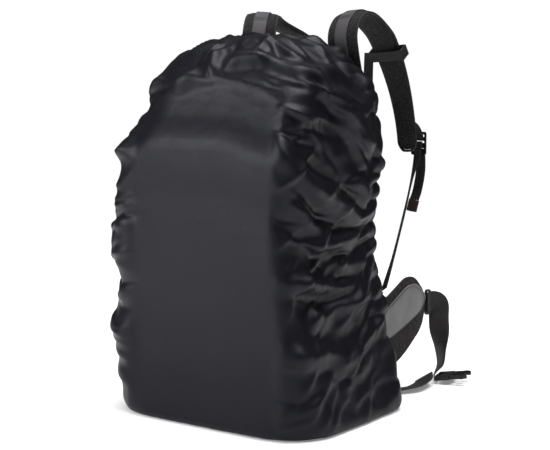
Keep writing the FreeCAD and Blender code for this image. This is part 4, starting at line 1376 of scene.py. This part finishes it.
def fill_outline(outline, rings, place, profile):
    """Verts and faces of a crowned patch: profile(inset) lifts it from 0 (edge) to 1."""
    middle = sum(outline, Vector((0, 0))) / len(outline)
    verts = []
    for ring in range(rings):
        inset = ring / rings
        for point in outline:
            spot = point.lerp(middle, inset)
            verts.append(place(profile(inset), spot.x, spot.y))
    verts.append(place(profile(1.0), middle.x, middle.y))
    count = len(outline)
    faces = grid_faces(rings, count)
    last = (rings - 1) * count
    faces += [(last + i, last + (i + 1) % count, len(verts) - 1) for i in range(count)]
    return verts, faces


def closed_patch(outline, front, back):
    """Two filled outlines joined round their rim; each is given as (rings, place, profile)."""
    verts, faces = fill_outline(outline, *front)
    under, under_faces = fill_outline(outline, *back)
    base, count = len(verts), len(outline)
    faces += [tuple(index + base for index in reversed(face)) for face in under_faces]
    faces += [(i, base + i, base + (i + 1) % count, (i + 1) % count) for i in range(count)]
    return verts + under, faces


def mirror_points(points, sign):
    """The points of the right side, or with sign -1 the same points on the left."""
    return [Vector((point.x * sign, point.y, point.z)) for point in points]


def make_hip_wings():
    """Crowned foam wings with a ribbed upper edge, a bound rim and a grey panel outside."""
    outline = closed_curve(WING_OUTLINE, 7, 22)
    rim = [wing_point(0, *point) for point in outline]
    panel = closed_curve(OVERLAY_OUTLINE, 6, 12)
    middle = sum(panel, Vector((0, 0))) / len(panel)
    seam = [wing_point(9.0, *point.lerp(middle, 0.07)) for point in panel]

    def outer(lift, along, up):
        ribs = 1.1 * math.sin(along / 9.0 * math.pi) * smooth_step(0.5, 0.0, lift)
        top = smooth_step(150, 178, up)
        return wing_point(0.5 + 7.2 * lift ** 0.45 + ribs * top, along, up)

    def inner(lift, along, up):
        return wing_point(-0.5 - 6.6 * lift ** 0.45, along, up)

    def crown(inset):
        return min(inset * 3.2, 1.0)

    def panel_face(lift, along, up):
        wrinkle = noise.noise(Vector((along, up, 0)) / 21) * 1.1
        return wing_point(7.4 + 1.5 * lift + wrinkle * lift, along, up)

    def panel_back(lift, along, up):
        return wing_point(7.3, along, up)
    for side, sign in SIDES:
        verts, faces = closed_patch(outline, (14, outer, crown), (14, inner, crown))
        wing = new_piece(f"hip_wing_{side}_padded", mirror_points(verts, sign), faces,
                         "belt_foam", None)
        turn_outwards(wing.data)
        stand_for(wing, f"hip_wing_{side}")
        body = body_of(wing)[0]
        tube_along(f"hip_wing_{side}_binding", mirror_points(rim, sign), 2.6 * MM,
                   "black_webbing", body, closed=True)
        verts, faces = closed_patch(panel, (12, panel_face, lambda inset: min(inset * 6, 1.0)),
                                    (2, panel_back, lambda inset: 0))
        patch = new_piece(f"hip_panel_{side}", mirror_points(verts, sign), faces,
                          "grey_nylon", None)
        turn_outwards(patch.data)
        stand_for(patch, f"hip_overlay_{side}")
        tube_along(f"hip_panel_{side}_seam", mirror_points(seam, sign), 0.5 * MM, "grey_nylon",
                   body, 5, MATERIALS["thread"], closed=True)


# ---------------------------------------------------------------- back padding
def rounded_outline(half_wide, half_deep, radius, steps=7):
    """Points round a rectangle about the origin, with rounded corners."""
    corners = ((half_wide, half_deep), (-half_wide, half_deep), (-half_wide, -half_deep),
               (half_wide, -half_deep))
    return closed_curve(corners, steps, radius)


def back_cushion(name, node, channels, radius=22, crown=3.0):
    """A foam pad on the back panel: crowned, with sewn channels across it and a bound rim."""
    low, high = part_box(node)
    centre = (low + high) / 2
    half_x = (high.x - low.x) / 2 / MM
    half_z = (high.z - low.z) / 2 / MM
    outline = []
    corners = rounded_outline(half_x, half_z, radius)
    for start, end in zip(corners, corners[1:] + corners[:1]):
        pieces = max(int((end - start).length / 7), 1)
        outline += [start.lerp(end, step / pieces) for step in range(pieces)]
    depth = (high.y - low.y) / MM

    def face(lift, across, up):
        sewn = sum(math.exp(-((up / half_z - level) * half_z / 4.5) ** 2) for level in channels)
        puff = (crown + depth * 0.2) * lift * (1 - 0.9 * min(sewn, 1.0))
        ripple = noise.noise(Vector((across, 0, up)) / 26) * 0.8 * lift
        height = depth * (0.55 + 0.25 * min(lift * 2, 1)) + puff + ripple
        return Vector((centre.x, low.y, centre.z)) + Vector((across, height, up)) * MM
    verts, faces = fill_outline(outline, 26, face, lambda inset: min(inset * 5, 1.0) ** 0.6)
    pad = new_piece(name, verts, faces, "back_mesh", None)
    turn_outwards(pad.data)
    stand_for(pad, node)
    rim = [Vector((centre.x, low.y, centre.z)) + Vector((p.x, depth * 0.55, p.y)) * MM
           for p in outline]
    tube_along(f"{name}_binding", rim, min(2.2, depth * 0.4) * MM, "black_webbing", "pack",
               closed=True)
    return pad


def make_back():
    """The back panel's cloth and cushions, and the haul loop above them."""
    for side, _ in SIDES:
        back_cushion(f"back_cushion_{side}", f"back_pad_{side}", (-0.62, -0.2, 0.2, 0.62))
    back_cushion("lumbar_cushion", "lumbar_pad", (0.0,), 40, 4.0)
    back_cushion("yoke_cushion", "shoulder_yoke", (), 16, 2.0)
    back_cushion("back_cloth", "back_panel", (), 46, 0.4)
    half, top, foot, depth = 40, 576, 498, 138
    places = [(half, foot), (half, 540)]
    for angle in (math.radians(turn) for turn in range(0, 181, 18)):
        places.append((half * math.cos(angle), top + half * 0.96 * math.sin(angle)))
    places += [(-half, 540), (-half, foot)]
    route = [(Vector((x, depth + (3 if z > 560 else 0), z)), (0, 1, 0)) for x, z in places]
    loop = sweep("haul_handle", ribbon_frames(route, 3),
                 lambda share: flat_ring(7 * MM, 1.5 * MM, 0.3 * MM), "black_webbing", None)
    stand_for(loop, "haul_loop")


# ---------------------------------------------------------------- the bag under its cover
BAG_ROWS = ((10, 138, 138, 118, 96, 34), (45, 150, 150, 130, 112, 40),
            (400, 150, 150, 130, 112, 40), (520, 140, 140, 118, 112, 40))
COLLAR_ROWS = ((520.5, 136, 136, 114, 108, 38), (532, 116, 116, 98, 92, 38),
               (540, 62, 62, 52, 52, 30))
LID_ROWS = ((541, 138, 138, 122, 110, 44), (562, 142, 142, 127, 112, 46),
            (598, 118, 118, 108, 108, 46), (626, 72, 72, 66, 80, 32))
POCKET_ROWS = ((25, 128, 128, 151, -131, 9), (70, 140, 140, 174, -131, 16),
               (400, 138, 138, 168, -131, 16), (447, 118, 118, 147, -131, 7))
HOLDER_ROWS = ((25, -151, 164, 86, 52, 5), (80, -151, 177, 98, 62, 11),
               (270, -151, 175, 96, 60, 10), (325, -151, 166, 88, 54, 6))


def section_at(rows, height):
    """The table's section at a height, straight between its rows."""
    for low, high in zip(rows, rows[1:]):
        if height <= high[0]:
            share = (height - low[0]) / (high[0] - low[0])
            return [a + (b - a) * share for a, b in zip(low[1:], high[1:])]
    return list(rows[-1][1:])


def grown(section, amount):
    """The section with its positive reaches enlarged; a negative reach lies on the pack."""
    return [value + amount if value > 0 else value for value in section[:4]] + [section[4]]


def rounded_ring(section, height, around=120):
    """Points round a rounded rectangle: reach left, right, front and back, corner radius."""
    left, right, front, back, radius = section
    centre = Vector(((right - left) / 2, (back - front) / 2))
    half_x, half_y = (right + left) / 2, (back + front) / 2
    radius = min(radius * 1.25, half_x * 0.95, half_y * 0.95)
    corners = ((half_x, half_y), (-half_x, half_y), (-half_x, -half_y), (half_x, -half_y))
    curve = closed_curve(corners, 9, radius)
    lengths = [0.0]
    for start, end in zip(curve, curve[1:] + curve[:1]):
        lengths.append(lengths[-1] + (end - start).length)
    points, index = [], 0
    for step in range(around):
        travel = lengths[-1] * step / around
        while lengths[index + 1] < travel:
            index += 1
        share = (travel - lengths[index]) / max(lengths[index + 1] - lengths[index], 1e-9)
        spot = curve[index].lerp(curve[(index + 1) % len(curve)], share) + centre
        points.append(Vector((spot.x, spot.y, height)) * MM)
    return points


def stuffed_piece(name, node, rows, puff, wrinkle, seed, open_top=False, sign=1):
    """A bag or pocket: its walls swell between its ends and wrinkle like loose cloth."""
    low, high = rows[0][0], rows[-1][0]
    levels = max(int((high - low) / 8), 8)
    rings = []
    for level in range(levels + 1):
        share = level / levels
        height = low + (high - low) * share
        swell = puff * math.sin(math.pi * share) ** 0.7
        rings.append(rounded_ring(grown(section_at(rows, height), swell), height))
    count = len(rings[0])
    verts = [point for ring in rings for point in ring]
    faces = grid_faces(len(rings), count)
    for ring, outward in ((0, -1), (len(rings) - 1, 1)):
        if open_top and outward > 0:
            continue
        middle = sum(rings[ring], Vector()) / count
        base = ring * count
        inner = len(verts)
        verts += [point.lerp(middle, 0.5) + Vector((0, 0, outward * 1.5 * MM))
                  for point in rings[ring]]
        verts.append(middle + Vector((0, 0, outward * 2 * MM)))
        for i in range(count):
            following = (i + 1) % count
            faces.append((base + i, base + following, inner + following, inner + i))
            faces.append((inner + i, inner + following, len(verts) - 1))
    piece = new_piece(name, mirror_points(verts, sign), faces, "pack_nylon", None)
    if open_top:
        turn_up(piece)
    else:
        turn_outwards(piece.data)
    place = Vector((seed, seed * 2.3, 0))
    for vertex in piece.data.vertices:
        point = vertex.co * 14.0 + place
        fold = 1.0 - abs(noise.noise(Vector((point.x, point.y, point.z * 1.8)))) * 2.4
        lump = noise.noise(vertex.co * 6.0 + place)
        vertex.co += vertex.normal * (wrinkle * (max(fold, 0.0) ** 2 * 0.8 + lump)) * MM
    if open_top:
        add_modifier(piece, "SOLIDIFY", thickness=1.2 * MM, offset=-1)
    add_modifier(piece, "SUBSURF", levels=1, render_levels=1)
    apply_modifiers(piece)
    stand_for(piece, node)
    return piece


def turn_up(piece):
    """Normals of an open-topped shell, away from its axis."""
    turn_outwards(piece.data)
    centre = sum((v.co for v in piece.data.vertices), Vector()) / len(piece.data.vertices)
    polygon = piece.data.polygons[len(piece.data.polygons) // 3]
    if polygon.normal.dot(polygon.center - centre) < 0:
        piece.data.flip_normals()


def edge_ring(name, rows, height, grow, radius, body="pack", sign=1, slot="black_webbing"):
    """A piping round one of the stuffed pieces."""
    ring = mirror_points(rounded_ring(grown(section_at(rows, height), grow), height), sign)
    return tube_along(name, ring, radius * MM, slot, body, closed=True)


def make_bag():
    """The stuffed bag, lid and pockets that the cover hides at rest."""
    stuffed_piece("bag_sack", "main_bag", BAG_ROWS, 0.5, 1.1, 3.0, open_top=True)
    stuffed_piece("bag_collar", "throat_collar", COLLAR_ROWS, 0.0, 1.2, 5.0)
    stuffed_piece("bag_lid", "top_lid", LID_ROWS, 2.0, 2.6, 8.0)
    stuffed_piece("pocket_front", "front_pocket", POCKET_ROWS, 1.0, 2.0, 11.0)
    edge_ring("lid_piping", LID_ROWS, 562, 3, 2.2)
    edge_ring("pocket_piping", POCKET_ROWS, 400, 3, 1.8)
    for side, sign in SIDES:
        stuffed_piece(f"pocket_{side}", f"side_pocket_{side}", HOLDER_ROWS, 0.5, 1.4, 14.0 + sign,
                      sign=sign)
        edge_ring(f"pocket_{side}_elastic", HOLDER_ROWS, 318, 1.5, 2.4, sign=sign, slot="elastic")
    base_rows = ((4, 118, 118, 98, 76, 30), (6, 126, 126, 106, 84, 34), (9, 130, 130, 110, 88, 34))
    stuffed_piece("bag_base", "base_panel", base_rows, 0.0, 0.2, 21.0)
    lid_strap = beside(Vector((62, -132, 453)), (0, -0.6, 80), (0, -1.4, 52), (0, -0.4, 25),
                       (0, -0.6, 0))
    strap_pair("lid_strap", lid_strap, 20, 1.6, "black_webbing")


# ---------------------------------------------------------------- hard parts and assembly
def dress_hard_parts():
    """Gives every shown CAD node its real material and a small radius on its edges."""
    for part in frame["nodes"].values():
        if part.hide_render:
            continue
        for holder in part.material_slots:
            holder.material = MATERIALS[holder.material.name.split(".")[0]]
        add_modifier(part, "BEVEL", width=0.5 * MM, segments=2, limit_method="ANGLE",
                     harden_normals=True)


def make_cover():
    """The rain cover's three sheets and its elastic."""
    rows = drape_cover()
    pieces = finish_cover(rows)
    tube = tube_along("cover_elastic", rows[-1], 2.4 * MM, "elastic", "rain_cover", closed=True)
    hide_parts("hem_elastic")


make_camera()
make_stage()
make_cover()
make_shoulder_straps()
make_webbing()
make_hip_wings()
make_back()
make_bag()
dress_hard_parts()
